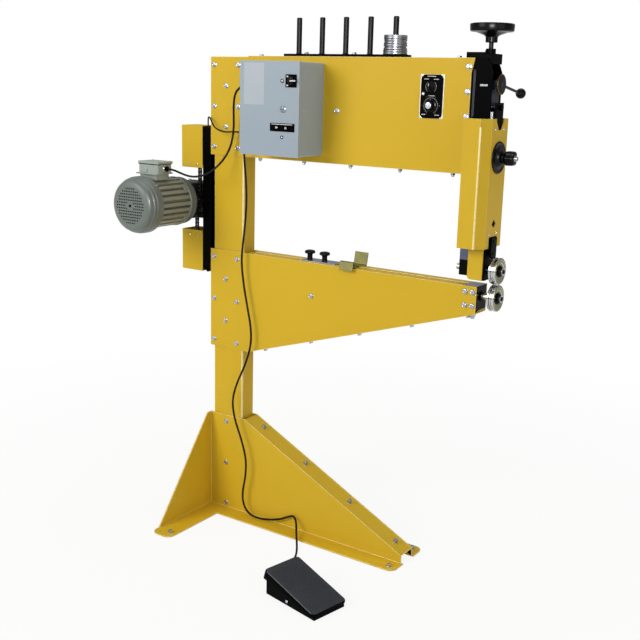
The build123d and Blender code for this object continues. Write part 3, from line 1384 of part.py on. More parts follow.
def pedal_profile(points, half_span, mode=Mode.ADD):
    """Side outline of a pedal piece, drawn out evenly to both sides of its middle."""
    with BuildSketch(pedal_side) as section:
        with BuildLine():
            Polyline(*points, close=True)
        make_face()
    extrude(section.sketch, amount=half_span, both=True, mode=mode)


base_half = half_width - pedal_skin - pedal_base_inset
with BuildPart() as pedal_base:
    back = -half_length + pedal_base_inset
    front = half_length - pedal_base_inset
    pedal_profile([(back, 0), (back, pedal_base_back), (back + pedal_skin, pedal_base_back),
                   (front, pedal_base_front), (front, 0)], base_half)
    pedal_profile([(back + pedal_skin, pedal_floor_thickness), (back + pedal_skin, pedal_base_back),
                   (front - pedal_skin, pedal_base_back), (front - pedal_skin, pedal_floor_thickness)],
                  base_half - pedal_skin, Mode.SUBTRACT)
    with BuildSketch(pedal_side):
        with Locations((pedal_pin_x, pedal_pin_height)):
            Circle(pedal_pin_radius)
    extrude(amount=half_width, both=True)
    gland_start = pedal_plane.from_local_coords((back, pedal_gland_y, pedal_gland_z))
    rod(tuple(gland_start), tuple(pedal_plane.x_dir * -1), gland_length, gland_radius)
save(pedal_base, "pedal_base")

# Treadle: sloping plate with skirts that hang on the pin
with BuildPart() as pedal_plate:
    rise = pedal_back_height - pedal_front_height
    pedal_profile([(-half_length, pedal_back_height - pedal_skirt), (-half_length, pedal_back_height),
                   (half_length, pedal_front_height), (half_length, pedal_front_height - pedal_skirt / 2),
                   (pedal_pin_x + pedal_skirt, pedal_pin_height - 2 * pedal_pin_radius),
                   (pedal_pin_x - pedal_skirt, pedal_pin_height - 2 * pedal_pin_radius)], half_width)
    pedal_profile([(-half_length, -rise), (-half_length, pedal_back_height - pedal_skin),
                   (half_length, pedal_front_height - pedal_skin), (half_length, -rise)],
                  half_width - pedal_skin, Mode.SUBTRACT)
    with BuildSketch(pedal_side):
        with Locations((pedal_pin_x, pedal_pin_height)):
            Circle(pedal_pin_radius + shaft_fit)
    extrude(amount=pedal_width, both=True, mode=Mode.SUBTRACT)
save(pedal_plate, "pedal_plate")

# Cable routes, hand-placed points from one gland's face to the other's
box_left_x = box_x[0] + door_inset
gland_face_x = box_left_x - gland_length
motor_gland_x = gearbox_x + terminal_half_x
motor_gland = (motor_gland_x, -176.0, 1226.0)
motor_route = [(motor_gland_x + gland_length, -176, 1226), (-122, -176, 1226), (-92, -172, 1216),
               (-60, -158, 1205), (-32, -134, 1208), (-10, -106, 1226), (10, -80, 1256), (27, -62, 1296),
               (39, -58, 1344), (44, -62, 1394), (50, -72, 1440), (66, -84, 1480), (97, -92, 1502),
               (122, -94, 1508), (gland_face_x, -94, 1508)]
channel_gland = (channel_rear_x + channel_wall + gland_radius + shaft_fit,
                 channel_wall + gland_radius + shaft_fit - half_depth, channel_top - running_gap)
panel_route = [channel_gland, (channel_gland[0], channel_gland[1], 1380), (-90, -34, 1396), (-73, -46, 1398),
               (-58, -53, 1382), (-44, -57, 1366), (-20, -62, 1357), (20, -78, 1353), (66, -98, 1357),
               (108, -110, 1358), (gland_face_x, -110, 1358)]
pedal_route = [(gland_face_x, -80, 1326), (118, -80, 1326), (98, -74, 1304), (92, -66, 1266),
               (96, -62, 1210), (99, -60, 1140), (94, -60, 1060), (84, -60, 985), (78, -60, 925),
               (88, -60, 850), (106, -60, 770), (124, -60, 692), (121, -60, 630), (96, -60, 560),
               (62, -62, 490), (44, -64, 425), (58, -66, 360), (90, -66, 290), (112, -66, 220),
               (108, -65, 155), (96, -64, 105), (94, -63, 66), (104, -62, 34), (130, -62, 14),
               (172, -60, 11), (214, -54, 17), (254, -50, 29), (286, -48, 47), (309, -49, 57),
               (326, -58, 46), (338, -72, 25), (352, -92, 16), (372, -118, 14), (398, -152, 6),
               (424, -192, 4), (444, -238, 4), (456, -284, 7), (465, -320, 16)]


def cable_path(points):
    """Runs and arcs of a cable, with each arc as large as its two runs allow."""
    radii = []
    for before, here, after in zip(points, points[1:], points[2:]):
        arriving = Vector(*here) - Vector(*before)
        leaving = Vector(*after) - Vector(*here)
        turn = radians(arriving.get_angle(leaving))
        radii.append(bend_share * min(arriving.length, leaving.length) / tan(turn / 2))
    return FilletPolyline(*points, radius=radii), radii


cables = {"motor_cable": (motor_route, cable_diameter), "panel_cable": (panel_route, panel_cable_diameter),
          "pedal_cable": (pedal_route, cable_diameter)}
gland_out = pedal_plane.from_local_coords((back - gland_length, pedal_gland_y, pedal_gland_z))
gland_run = pedal_plane.from_local_coords((back - 2 * gland_length, pedal_gland_y, pedal_gland_z))
pedal_route += [tuple(gland_run), tuple(gland_out)]
for label, (route, diameter) in cables.items():
    with BuildPart() as cable:
        with BuildLine():
            path, radii = cable_path(route)
        start = Vector(*route[0])
        with BuildSketch(Plane(origin=start, z_dir=Vector(*route[1]) - start)):
            Circle(diameter / 2)
        sweep(path=path)
    length = path.length
    expected = length * pi * diameter ** 2 / 4
    print(f"{label}: {length:.0f} long, radii {min(radii):.0f} to {max(radii):.0f},"
          f" volume over section times length {cable.part.volume / expected:.4f}")
    save(cable, label)

# Glands where the cables leave the motor, the box and the channel
with BuildPart() as cable_glands:
    rod(motor_gland, (1, 0, 0), gland_length, gland_radius)
    rod(channel_gland, (0, 0, -1), gland_length, gland_radius)
    for route in (motor_route, panel_route, pedal_route):
        end = route[0] if route is pedal_route else route[-1]
        rod((gland_face_x, end[1], end[2]), (1, 0, 0), gland_length, gland_radius)
save(cable_glands, "cable_glands")
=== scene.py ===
"""Looks of the bead roller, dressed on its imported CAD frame.

Each sub-assembly is a class with its sizes in millimetres as fields. Meshes are worked out with numpy
as whole arrays, and land in the scene in metres, in the same frame as the CAD nodes.
"""

import json
import logging
import math
from dataclasses import dataclass, field
from enum import Enum
from typing import Callable, Optional, Sequence

import bmesh
import bpy
import numpy as np
from mathutils import Matrix, Vector

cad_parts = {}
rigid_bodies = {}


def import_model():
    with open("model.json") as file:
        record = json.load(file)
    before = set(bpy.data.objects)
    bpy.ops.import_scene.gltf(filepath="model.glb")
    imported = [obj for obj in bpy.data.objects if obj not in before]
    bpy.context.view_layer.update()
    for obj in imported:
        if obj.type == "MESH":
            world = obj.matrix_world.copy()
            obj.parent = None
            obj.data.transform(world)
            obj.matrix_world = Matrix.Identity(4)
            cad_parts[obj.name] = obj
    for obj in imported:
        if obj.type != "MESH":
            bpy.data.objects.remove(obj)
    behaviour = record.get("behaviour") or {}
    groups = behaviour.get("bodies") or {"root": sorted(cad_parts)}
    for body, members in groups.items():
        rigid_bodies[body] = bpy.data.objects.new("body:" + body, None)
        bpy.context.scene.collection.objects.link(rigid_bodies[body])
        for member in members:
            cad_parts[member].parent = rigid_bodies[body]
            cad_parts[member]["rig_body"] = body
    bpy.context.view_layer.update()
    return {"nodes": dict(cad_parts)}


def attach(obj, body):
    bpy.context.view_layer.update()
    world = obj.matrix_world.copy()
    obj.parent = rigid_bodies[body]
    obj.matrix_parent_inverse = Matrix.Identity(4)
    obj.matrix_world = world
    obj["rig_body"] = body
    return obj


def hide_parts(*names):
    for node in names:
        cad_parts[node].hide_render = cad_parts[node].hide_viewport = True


MM = 0.001
QUARTER = math.pi / 2
X_AXIS, Y_AXIS, Z_AXIS = (1, 0, 0), (0, 1, 0), (0, 0, 1)
FRONT, DOWN = (0, -1, 0), (0, 0, -1)
log = logging.getLogger("bead_roller")

Point = Sequence[float]
Shape = tuple[np.ndarray, list]
Thing, Tree, Socket = bpy.types.Object, bpy.types.NodeTree, bpy.types.NodeSocket


# Colours and finishes


def linear(hex_colour: str) -> tuple[float, float, float, float]:
    """Turns an sRGB hex colour into linear RGBA.

    Args:
        hex_colour: six hex digits.

    Returns:
        The linear colour with alpha 1.
    """
    shares = [int(hex_colour[k:k + 2], 16) / 255 for k in (0, 2, 4)]
    return tuple(c / 12.92 if c <= 0.04045 else ((c + 0.055) / 1.055) ** 2.4 for c in shares) + (1.0,)


def add(tree: Tree, kind: str, settings: Optional[dict] = None, values: Optional[dict] = None,
        links: Optional[dict] = None) -> bpy.types.Node:
    """Adds a node with its settings, socket values and incoming links.

    Args:
        tree: node tree to add to.
        kind: node type name.
        settings: attributes of the node.
        values: default values by socket name or index.
        links: output sockets by the name or index of the input that they feed.

    Returns:
        The new node.
    """
    node = tree.nodes.new(kind)
    for key, value in (settings or {}).items():
        setattr(node, key, value)
    for key, value in (values or {}).items():
        node.inputs[key].default_value = value
    for key, socket in (links or {}).items():
        tree.links.new(socket, node.inputs[key])
    return node


class Slot(Enum):
    """Material slots of the part's record."""

    YELLOW_PAINT = "yellow_paint"
    BLACK_PAINT = "black_paint"
    GREY_PAINT = "grey_paint"
    MOTOR_PAINT = "motor_paint"
    ZINC_BOLTS = "zinc_bolts"
    GROUND_STEEL = "ground_steel"
    BLACK_STEEL = "black_steel"
    POLISHED_DIE = "polished_die"
    CHAIN_STEEL = "chain_steel"
    BLACK_PLASTIC = "black_plastic"
    DRIVE_PLASTIC = "drive_plastic"
    PASSIVATED_ZINC = "passivated_zinc"
    CABLE_RUBBER = "cable_rubber"
    LIGHT_LENS = "light_lens"


@dataclass(frozen=True)
class Finish:
    """Plain finish: one colour with a fine grain in its surface and a slight drift of tone.

    Attributes:
        name: common name of the real material.
        slot: slot of the record it belongs to.
        base: sRGB hex colour.
        roughness: typical roughness of the surface.
        drift: sRGB hex colour that the base drifts to.
        drift_mm: size of the drifting patches.
        grain_mm: size of the surface grain.
        grain_depth_mm: height of the grain.
        metallic: 1 for bare metal.
        coat: share of clear coat.
        roughness_spread: how far the roughness wanders.
        gloss: strength of the surface's clear reflection, 0.5 for plain plastic or enamel.
    """

    name: str
    slot: Slot
    base: str
    roughness: float
    drift: str
    drift_mm: float = 140.0
    grain_mm: float = 1.2
    grain_depth_mm: float = 0.02
    metallic: float = 0.0
    coat: float = 0.0
    roughness_spread: float = 0.05
    gloss: float = 0.5

    def coordinates(self, tree: Tree) -> Socket:
        """Gives the Object coordinates that every pattern reads."""
        return add(tree, "ShaderNodeTexCoord").outputs["Object"]

    def noise(self, tree: Tree, size_mm: float, detail: float = 2.0,
              coords: Optional[Socket] = None) -> Socket:
        """Adds a noise pattern whose patches are about size_mm wide.

        Args:
            tree: node tree to add to.
            size_mm: real size of a patch.
            detail: octaves of finer detail.
            coords: coordinates to read instead of the Object ones.

        Returns:
            The pattern's value socket.
        """
        return add(tree, "ShaderNodeTexNoise", values={"Scale": 1000 / size_mm, "Detail": detail},
                   links={"Vector": coords or self.coordinates(tree)}).outputs[0]

    def tone(self, tree: Tree) -> Socket:
        """Gives the base colour with its slow drift of tone.

        Args:
            tree: node tree to add to.

        Returns:
            The colour's socket.
        """
        pattern = self.noise(tree, self.drift_mm, 3.0)
        ramp = add(tree, "ShaderNodeValToRGB", links={0: pattern})
        ramp.color_ramp.elements[0].position = 0.35
        ramp.color_ramp.elements[0].color = linear(self.base)
        ramp.color_ramp.elements[1].position = 0.75
        ramp.color_ramp.elements[1].color = linear(self.drift)
        return ramp.outputs["Color"]

    def relief(self, tree: Tree) -> Socket:
        """Gives the height of the surface grain, from 0 to 1."""
        return self.noise(tree, self.grain_mm, 2.0)

    def material(self) -> bpy.types.Material:
        """Gives the finish's material, made once.

        Returns:
            The material.
        """
        made = bpy.data.materials.get(self.name)
        if made:
            return made
        made = bpy.data.materials.new(self.name)
        made.use_nodes = True
        tree = made.node_tree
        shader = tree.nodes["Principled BSDF"]
        shader.inputs["Metallic"].default_value = self.metallic
        shader.inputs["Coat Weight"].default_value = self.coat
        shader.inputs["Specular IOR Level"].default_value = self.gloss
        tree.links.new(self.tone(tree), shader.inputs["Base Color"])
        wander = add(tree, "ShaderNodeMapRange",
                     values={"To Min": self.roughness - self.roughness_spread,
                             "To Max": self.roughness + self.roughness_spread},
                     links={"Value": self.noise(tree, self.drift_mm / 6, 2.0)})
        tree.links.new(wander.outputs["Result"], shader.inputs["Roughness"])
        bump = add(tree, "ShaderNodeBump", values={"Strength": 0.5, "Distance": self.grain_depth_mm * MM},
                   links={"Height": self.relief(tree)})
        tree.links.new(bump.outputs["Normal"], shader.inputs["Normal"])
        made.diffuse_color = linear(self.base)
        return made


@dataclass(frozen=True)
class PowderCoat(Finish):
    """Baked powder: even colour with the shallow orange peel that breaks up its soft highlight."""

    def relief(self, tree: Tree) -> Socket:
        """Gives the orange peel, rounded dimples about grain_mm wide."""
        return add(tree, "ShaderNodeTexVoronoi", settings={"feature": "SMOOTH_F1"},
                   values={"Scale": 1000 / self.grain_mm, "Smoothness": 1.0},
                   links={"Vector": self.coordinates(tree)}).outputs["Distance"]


@dataclass(frozen=True)
class TurnedSteel(Finish):
    """Steel cut on a lathe or ground: fine lines run round the work's X axis."""

    line_mm: float = 0.8

    def relief(self, tree: Tree) -> Socket:
        """Gives fine cutting lines across X; drawn coarser than real so that they show."""
        squeezed = add(tree, "ShaderNodeMapping", values={"Scale": (1.0, 0.02, 0.02)},
                       links={"Vector": self.coordinates(tree)}).outputs["Vector"]
        return self.noise(tree, self.line_mm, 1.0, squeezed)


@dataclass(frozen=True)
class BrushedSteel(Finish):
    """Bright rolled or ground bar: long fine scratches along X."""

    scratch_mm: float = 0.7

    def relief(self, tree: Tree) -> Socket:
        """Gives long scratches along X; drawn coarser than real so that they show."""
        stretched = add(tree, "ShaderNodeMapping", values={"Scale": (0.02, 1.0, 1.0)},
                        links={"Vector": self.coordinates(tree)}).outputs["Vector"]
        return self.noise(tree, self.scratch_mm, 2.0, stretched)


@dataclass(frozen=True)
class PassivatedZinc(Finish):
    """Yellow-passivated zinc plate: the thin film shifts between straw, olive and a hint of violet."""

    violet: str = "7C6A6E"

    def tone(self, tree: Tree) -> Socket:
        """Gives the film's shifting colour.

        Args:
            tree: node tree to add to.

        Returns:
            The colour's socket.
        """
        ramp = add(tree, "ShaderNodeValToRGB", links={0: self.noise(tree, self.drift_mm, 4.0)})
        ramp.color_ramp.elements[0].position = 0.3
        ramp.color_ramp.elements[0].color = linear(self.violet)
        ramp.color_ramp.elements[1].position = 0.45
        ramp.color_ramp.elements[1].color = linear(self.base)
        last = ramp.color_ramp.elements.new(0.7)
        last.color = linear(self.drift)
        return ramp.outputs["Color"]


# Baked powder: an even warm yellow with a broad, soft highlight.
YELLOW = PowderCoat("powder_coated_steel_yellow", Slot.YELLOW_PAINT, "D1AD26", 0.4, "D4B12B", 420.0, 2.4,
                    0.03, gloss=0.16)
# Painted highlight on the folds: the yellow coat made paler and glossier on every bevel, so that each fold
# reads as a light line.
YELLOW_FOLD_HIGHLIGHT = Finish("yellow_painted_fold_highlight", Slot.YELLOW_PAINT, "F2DC84", 0.28, "F4E094", 90.0, 2.4,
                     0.005, gloss=1.0)
# Painted highlight on the folds of the box: the grey coat made paler and glossier on every bevel, so that
# its edges read as light lines.
GREY_FOLD_HIGHLIGHT = Finish("grey_painted_fold_highlight", Slot.GREY_PAINT, "D6DEE4", 0.28, "DAE2E8", 90.0, 2.0, 0.005,
                   gloss=1.0)
# Black powder: close to black, with hardly any reflection.
BLACK_COAT = PowderCoat("powder_coated_steel_black", Slot.BLACK_PAINT, "030304", 0.36, "050506", 90.0, 1.6,
                        0.04, gloss=0.02)
# Grey powder on the enclosure: a cool mid grey with a soft sheen.
GREY_COAT = PowderCoat("powder_coated_steel_grey", Slot.GREY_PAINT, "95A4B2", 0.36, "99A7B4", 300.0, 1.8,
                       0.04, gloss=0.4)
# Enamel sprayed on pressed sheet: smooth grey-green with a dim sheen.
MOTOR_COAT = Finish("enamelled_pressed_steel", Slot.MOTOR_PAINT, "646D69", 0.42, "67706C", 120.0, 1.0, 0.02,
                    coat=0.04, roughness_spread=0.015)
# Enamel on a die casting: lighter, over a slightly uneven skin.
BOX_COAT = Finish("enamelled_cast_aluminium", Slot.MOTOR_PAINT, "98A29D", 0.36, "A1ABA6", 50.0, 1.0, 0.06,
                  coat=0.15)
# A near-black charcoal on the gear casing, dull, with a pitted skin.
GEAR_COAT = Finish("enamelled_gear_casing", Slot.MOTOR_PAINT, "1C1E20", 0.42, "24262A", 40.0, 1.0, 0.08,
                   gloss=0.25)
# Enamel on a ribbed casting: pale enough that the gaps between the fins stay readable.
FIN_COAT = Finish("enamelled_finned_casting", Slot.MOTOR_PAINT, "8B8F86", 0.42, "80847A", 40.0, 0.9, 0.1)
# Bright electroplated zinc: cool light metal with sharp glints.
ZINC = Finish("bright_zinc_plated_steel", Slot.ZINC_BOLTS, "B0B5BE", 0.27, "9FA5B0", 9.0, 0.6, 0.01, 1.0)
# Heat-blued steel: a dark blue-grey with a weak metallic sheen. It also paints the blue-grey highlight strip
# on the housing's edge.
BLUED_AND_EDGE_SHEEN = Finish("blued_steel_and_edge_sheen", Slot.BLACK_STEEL, "1E222E", 0.34, "262B3A", 24.0, 0.8, 0.01, 0.3, gloss=0.3)
# Drawn bar with a blued skin: slate-blue metal scratched along its length.
BLUED_BAR = BrushedSteel("blued_drawn_steel", Slot.GROUND_STEEL, "50566A", 0.34, "5C6278", 24.0, 0.7, 0.01,
                         0.8)
# Tool steel under a film of oil: the flat face turns olive.
OILED_DIE = TurnedSteel("oil_filmed_tool_steel", Slot.POLISHED_DIE, "7E7A4C", 0.3, "6C6A48", 14.0, 0.8, 0.01,
                        0.9)
# Zinc plate gone dull: grey enough for small heads to show against a white ground.
DULL_ZINC = Finish("dull_zinc_plated_steel", Slot.ZINC_BOLTS, "8B9096", 0.34, "7A7F86", 7.0, 0.6, 0.01, 1.0)
# Cold-drawn bar: light grey metal with long fine scratches.
BRIGHT_BAR = BrushedSteel("bright_drawn_steel", Slot.GROUND_STEEL, "A9ABB6", 0.3, "9597A4", 30.0, 0.7, 0.01,
                          1.0)
# Ground shafting: bright metal with fine rings round its axis.
SHAFT_STEEL = TurnedSteel("ground_steel_shaft", Slot.GROUND_STEEL, "BFC1C4", 0.26, "A8AAAE", 20.0, 0.7, 0.01,
                          1.0)
# Hot black oxide: a satin near-black that catches light only on round edges.
BLACK_OXIDE = Finish("black_oxide_steel", Slot.BLACK_STEEL, "060607", 0.38, "08080A", 60.0, 0.8, 0.01,
                     roughness_spread=0.015, gloss=0.14)
# Blackened steel wiped with oil: a deep, slightly warm black.
OILED_BLOCK = Finish("blackened_steel_block", Slot.BLACK_STEEL, "060605", 0.38, "090907", 30.0, 0.9, 0.02,
                     gloss=0.04)
# Hardened tool steel, ground and polished: bright and dark bands like a mirror's.
DIE_STEEL = TurnedSteel("polished_tool_steel", Slot.POLISHED_DIE, "C6C7C6", 0.13, "AEB0AE", 16.0, 0.7, 0.004,
                        1.0, roughness_spread=0.03)
# The same steel dulled by storage: mid grey with a broad sheen.
STACKED_STEEL = TurnedSteel("dulled_tool_steel", Slot.POLISHED_DIE, "84888E", 0.34, "787C82", 16.0, 0.7,
                            0.006, 1.0, roughness_spread=0.02)
# Roller chain as it leaves the oil: dark brown-grey metal.
CHAIN = Finish("oiled_chain_steel", Slot.CHAIN_STEEL, "4C4742", 0.34, "6A6258", 12.0, 0.7, 0.02, 1.0)
# Compression-moulded phenolic: black with a crisp highlight.
PHENOLIC = Finish("phenolic_resin_black", Slot.BLACK_PLASTIC, "050506", 0.27, "08080A", 40.0, 1.4, 0.01,
                  gloss=0.12)
# Injection-moulded ABS with a fine texture: a matt black.
MOULDED = Finish("moulded_abs_black", Slot.BLACK_PLASTIC, "030304", 0.38, "050506", 30.0, 0.8, 0.03,
                 gloss=0.02)
# Coarsely textured pedal plastic: dark blue-grey and matt. Only the treadle's top takes it, while the sides
# keep the black moulding as painted shade, so the top reads lighter than the sides.
TREAD = Finish("moulded_pedal_plastic", Slot.BLACK_PLASTIC, "2C3038", 0.5, "32363E", 40.0, 1.1, 0.09,
               gloss=0.3)
# The same plastic made paler: a painted highlight along the treadle's near long edge.
TREAD_HIGHLIGHT = Finish("pedal_edge_painted_highlight", Slot.BLACK_PLASTIC, "565B64", 0.45, "5C616A", 40.0, 1.1, 0.03)
# Moulded ABS in mid grey: plain and matt, as on a motor drive.
DRIVE_CASE = Finish("moulded_abs_grey", Slot.DRIVE_PLASTIC, "70767D", 0.45, "666C73", 40.0, 0.9, 0.03)
# Passivated zinc plate on the guide: mostly olive, half metal and half film.
OLIVE_ZINC = PassivatedZinc("yellow_passivated_zinc", Slot.PASSIVATED_ZINC, "6E6A2C", 0.42, "7A7636", 30.0,
                            0.8, 0.01, 0.3, violet="6A6434")
# Extruded rubber: a soft black with a dim line of light along it.
SHEATH = Finish("rubber_sheath", Slot.CABLE_RUBBER, "09090A", 0.5, "0D0D0E", 30.0, 0.9, 0.03, gloss=0.12)
# Moulded acrylic lens, smooth and glossy; its pale colour paints the white highlight on the lamp lenses.
LENS = Finish("acrylic_lens_painted_highlight", Slot.LIGHT_LENS, "B9BBBE", 0.12, "A9ABB0", 10.0, 2.0, 0.001, coat=0.5)
# Sintered bronze: brown metal with fine pores.
BRONZE = Finish("sintered_bronze", Slot.GROUND_STEEL, "8A6636", 0.38, "6E5230", 6.0, 0.5, 0.02, 1.0)
# Polyester film with nothing printed on it: a flat, cool pale grey.
FILM = Finish("printed_polyester_film", Slot.GREY_PAINT, "AAB4C0", 0.32, "A6B1BD", 60.0, 2.0, 0.003)
# Screen inks: flat marks that stay readable on black. The grey one also paints the highlight arcs on the
# selector's bezel.
WHITE_INK = Finish("white_screen_ink", Slot.LIGHT_LENS, "D8D8D6", 0.4, "C8C8C8", 8.0, 0.6, 0.004)
GREY_INK_AND_HIGHLIGHT = Finish("grey_ink_and_painted_highlight", Slot.LIGHT_LENS, "77787C", 0.4, "6C6D71", 8.0, 0.6, 0.004)
# Anodised aluminium: pale warm metal with soft reflections.
SATIN_PLATE = Finish("satin_anodised_aluminium", Slot.GROUND_STEEL, "CDCCC4", 0.36, "BDBCB4", 20.0, 0.6,
                     0.008, 0.8)


# Shapes on grids


def unit(vector: Point) -> np.ndarray:
    """Gives the unit vector along a direction."""
    found = np.asarray(vector, float)
    return found / np.linalg.norm(found)


def cross_axes(axis: Point) -> tuple[np.ndarray, np.ndarray]:
    """Gives two unit vectors square to an axis and to each other.

    Args:
        axis: the axis.

    Returns:
        The two vectors.
    """
    along = unit(axis)
    helper = np.array((0.0, 0.0, 1.0)) if abs(along[2]) < 0.9 else np.array((1.0, 0.0, 0.0))
    first = unit(np.cross(helper, along))
    return first, np.cross(along, first)


def eased(points: Sequence[Point], radius: float, steps: int = 4) -> np.ndarray:
    """Rounds the inner corners of an open outline.

    Each corner P gives way to the parabola (1-t)^2 A + 2t(1-t) P + t^2 B between the points A and B that
    lie a radius before and after it, or less where a side is short.

    Args:
        points: outline points in the plane.
        radius: distance of A and B from the corner.
        steps: points per corner less one.

    Returns:
        The rounded outline as an array.
    """
    outline = np.asarray(points, float)
    before, corner, after = outline[:-2], outline[1:-1], outline[2:]
    reach_in = np.linalg.norm(before - corner, axis=1)
    reach_out = np.linalg.norm(after - corner, axis=1)
    cut = np.minimum(radius, 0.45 * np.minimum(reach_in, reach_out))[:, None]
    start = corner + (before - corner) / reach_in[:, None] * cut
    end = corner + (after - corner) / reach_out[:, None] * cut
    t = np.linspace(0, 1, steps + 1)[None, :, None]
    arcs = (1 - t) ** 2 * start[:, None] + 2 * t * (1 - t) * corner[:, None] + t ** 2 * end[:, None]
    return np.vstack([outline[:1], arcs.reshape(-1, 2), outline[-1:]])


def loft(rings: np.ndarray, loop: bool = False, caps: bool = True) -> Shape:
    """Joins rows of points to a skin: row i, point j sits at ring i, share j of the way round.

    Args:
        rings: array of rows x points x 3.
        loop: whether the last row joins the first.
        caps: whether the first and last rows are closed with a face each.

    Returns:
        Points and faces.
    """
    rows, count = rings.shape[:2]
    index = np.arange(rows * count).reshape(rows, count)
    low = index if loop else index[:-1]
    high = np.roll(index, -1, 0) if loop else index[1:]
    quads = np.stack([low, np.roll(low, -1, 1), np.roll(high, -1, 1), high], -1).reshape(-1, 4).tolist()
    if caps and not loop:
        quads += [index[0][::-1].tolist(), index[-1].tolist()]
    return rings.reshape(-1, 3), quads


def lathe(profile: Sequence[Point], origin: Point, axis: Point, turns: int = 64, loop: bool = False,
          lobes: Optional[Callable[[np.ndarray, np.ndarray], np.ndarray]] = None) -> Shape:
    """Turns a profile round an axis: point = origin + a axis + r (cos w first + sin w second).

    Args:
        profile: (a, r) pairs; a zero radius at an end is closed by a flat face instead.
        origin: start of the axis.
        axis: its direction.
        turns: points round the axis.
        loop: whether the profile is a closed ring.
        lobes: factor on the radius as a function of a and of the angle w.

    Returns:
        Points and faces.
    """
    outline = np.asarray(profile, float)
    if not loop:
        outline = outline[outline[:, 1] > 1e-6]
    first, second = cross_axes(axis)
    w = np.linspace(0, 2 * np.pi, turns, endpoint=False)[None, :]
    a, r = outline[:, :1], outline[:, 1:]
    radius = r * (lobes(a, w) if lobes else np.ones_like(w))
    rings = (np.asarray(origin, float) + a[..., None] * unit(axis)
             + (radius * np.cos(w))[..., None] * first + (radius * np.sin(w))[..., None] * second)
    return loft(rings, loop)


def drawn(outline: Sequence[Point], origin: Point, u: Point, v: Point, depth: float) -> Shape:
    """Draws a flat outline out along u x v: point = origin + x u + y v + d (u x v), d from 0 to depth.

    Args:
        outline: (x, y) pairs.
        origin: where x = y = 0.
        u: direction of x.
        v: direction of y.
        depth: how far it is drawn.

    Returns:
        Points and faces.
    """
    flat = np.asarray(outline, float)
    u, v = unit(u), unit(v)
    base = np.asarray(origin, float) + flat[:, :1] * u + flat[:, 1:] * v
    return loft(np.stack([base, base + depth * np.cross(u, v)]))


def box_shape(low: Point, high: Point) -> Shape:
    """Gives a box between two corners."""
    (x0, y0, z0), (x1, y1, z1) = low, high
    return drawn([(0, 0), (x1 - x0, 0), (x1 - x0, y1 - y0), (0, y1 - y0)], low, X_AXIS, Y_AXIS, z1 - z0)


def rounded_rectangle(width: float, height: float, radius: float, steps: int = 6) -> np.ndarray:
    """Outline of a rectangle about the origin with quarter-circle corners.

    Args:
        width: full width.
        height: full height.
        radius: of the corners.
        steps: points per corner less one.

    Returns:
        The outline, anticlockwise.
    """
    w = (np.linspace(0, np.pi / 2, steps + 1)[None, :] + np.arange(4)[:, None] * np.pi / 2).ravel()
    centre = np.array([(width / 2 - radius, height / 2 - radius)])
    signs = np.repeat(np.array([(1, 1), (-1, 1), (-1, -1), (1, -1)]), steps + 1, 0)
    return signs * centre + radius * np.stack([np.cos(w), np.sin(w)], 1)


def tube(path: np.ndarray, radius: float, turns: int = 16) -> Shape:
    """Carries a circle along a path, kept square to it with one fixed side direction.

    Args:
        path: points of the centre line.
        radius: of the circle.
        turns: points round it.

    Returns:
        Points and faces.
    """
    along = np.gradient(path, axis=0)
    along /= np.linalg.norm(along, axis=1, keepdims=True)
    first, _ = cross_axes(path[-1] - path[0])
    side = first - (along @ first)[:, None] * along
    side /= np.linalg.norm(side, axis=1, keepdims=True)
    other = np.cross(along, side)
    w = np.linspace(0, 2 * np.pi, turns, endpoint=False)[None, :, None]
    return loft(path[:, None] + radius * (np.cos(w) * side[:, None] + np.sin(w) * other[:, None]))


def together(shapes: Sequence[Shape]) -> Shape:
    """Puts several shapes into one.

    Args:
        shapes: the shapes.

    Returns:
        Points and faces.
    """
    points, faces, offset = [], [], 0
    for part_points, part_faces in shapes:
        points.append(part_points)
        faces += [[k + offset for k in face] for face in part_faces]
        offset += len(part_points)
    return np.vstack(points), faces


def repeated(shape: Shape, places: Sequence[Point], axis: Point) -> Shape:
    """Repeats a shape that stands on the origin along +Z, at places and along another axis.

    Args:
        shape: the shape to repeat.
        places: where its origin goes.
        axis: direction that its +Z takes.

    Returns:
        Points and faces of all copies.
    """
    points, faces = shape
    first, second = cross_axes(axis)
    turned = points @ np.stack([first, second, unit(axis)])
    return copies((turned, faces), np.asarray(places, float))


def copies(shape: Shape, spots: np.ndarray) -> Shape:
    """Repeats a shape at spots, unturned: point = spot + point of the shape.

    Args:
        shape: the shape to repeat.
        spots: where its origin goes.

    Returns:
        Points and faces of all copies.
    """
    points, faces = shape
    every = (points[None] + spots[:, None]).reshape(-1, 3)
    return every, [[k + copy * len(points) for k in face] for copy in range(len(spots)) for face in faces]


def front_plate(width: float, height: float, radius: float, middle: Point, depth: float) -> Shape:
    """Draws a rounded rectangle that stands in X and Z out to the front.

    Args:
        width: along X.
        height: along Z.
        radius: of its corners.
        middle: of its back face.
        depth: its thickness.

    Returns:
        Points and faces.
    """
    return drawn(rounded_rectangle(width, height, radius), middle, X_AXIS, Z_AXIS, depth)


def hexagon_reach(flats: float, w: np.ndarray) -> np.ndarray:
    """Distance from a hexagon's middle to its side: half its flats / cos(angle off the middle of a flat).

    Args:
        flats: width across flats.
        w: angles round the middle.

    Returns:
        The distance at each angle.
    """
    sector = np.abs((w + np.pi / 6) % (np.pi / 3) - np.pi / 6)
    return flats / 2 / np.cos(sector)


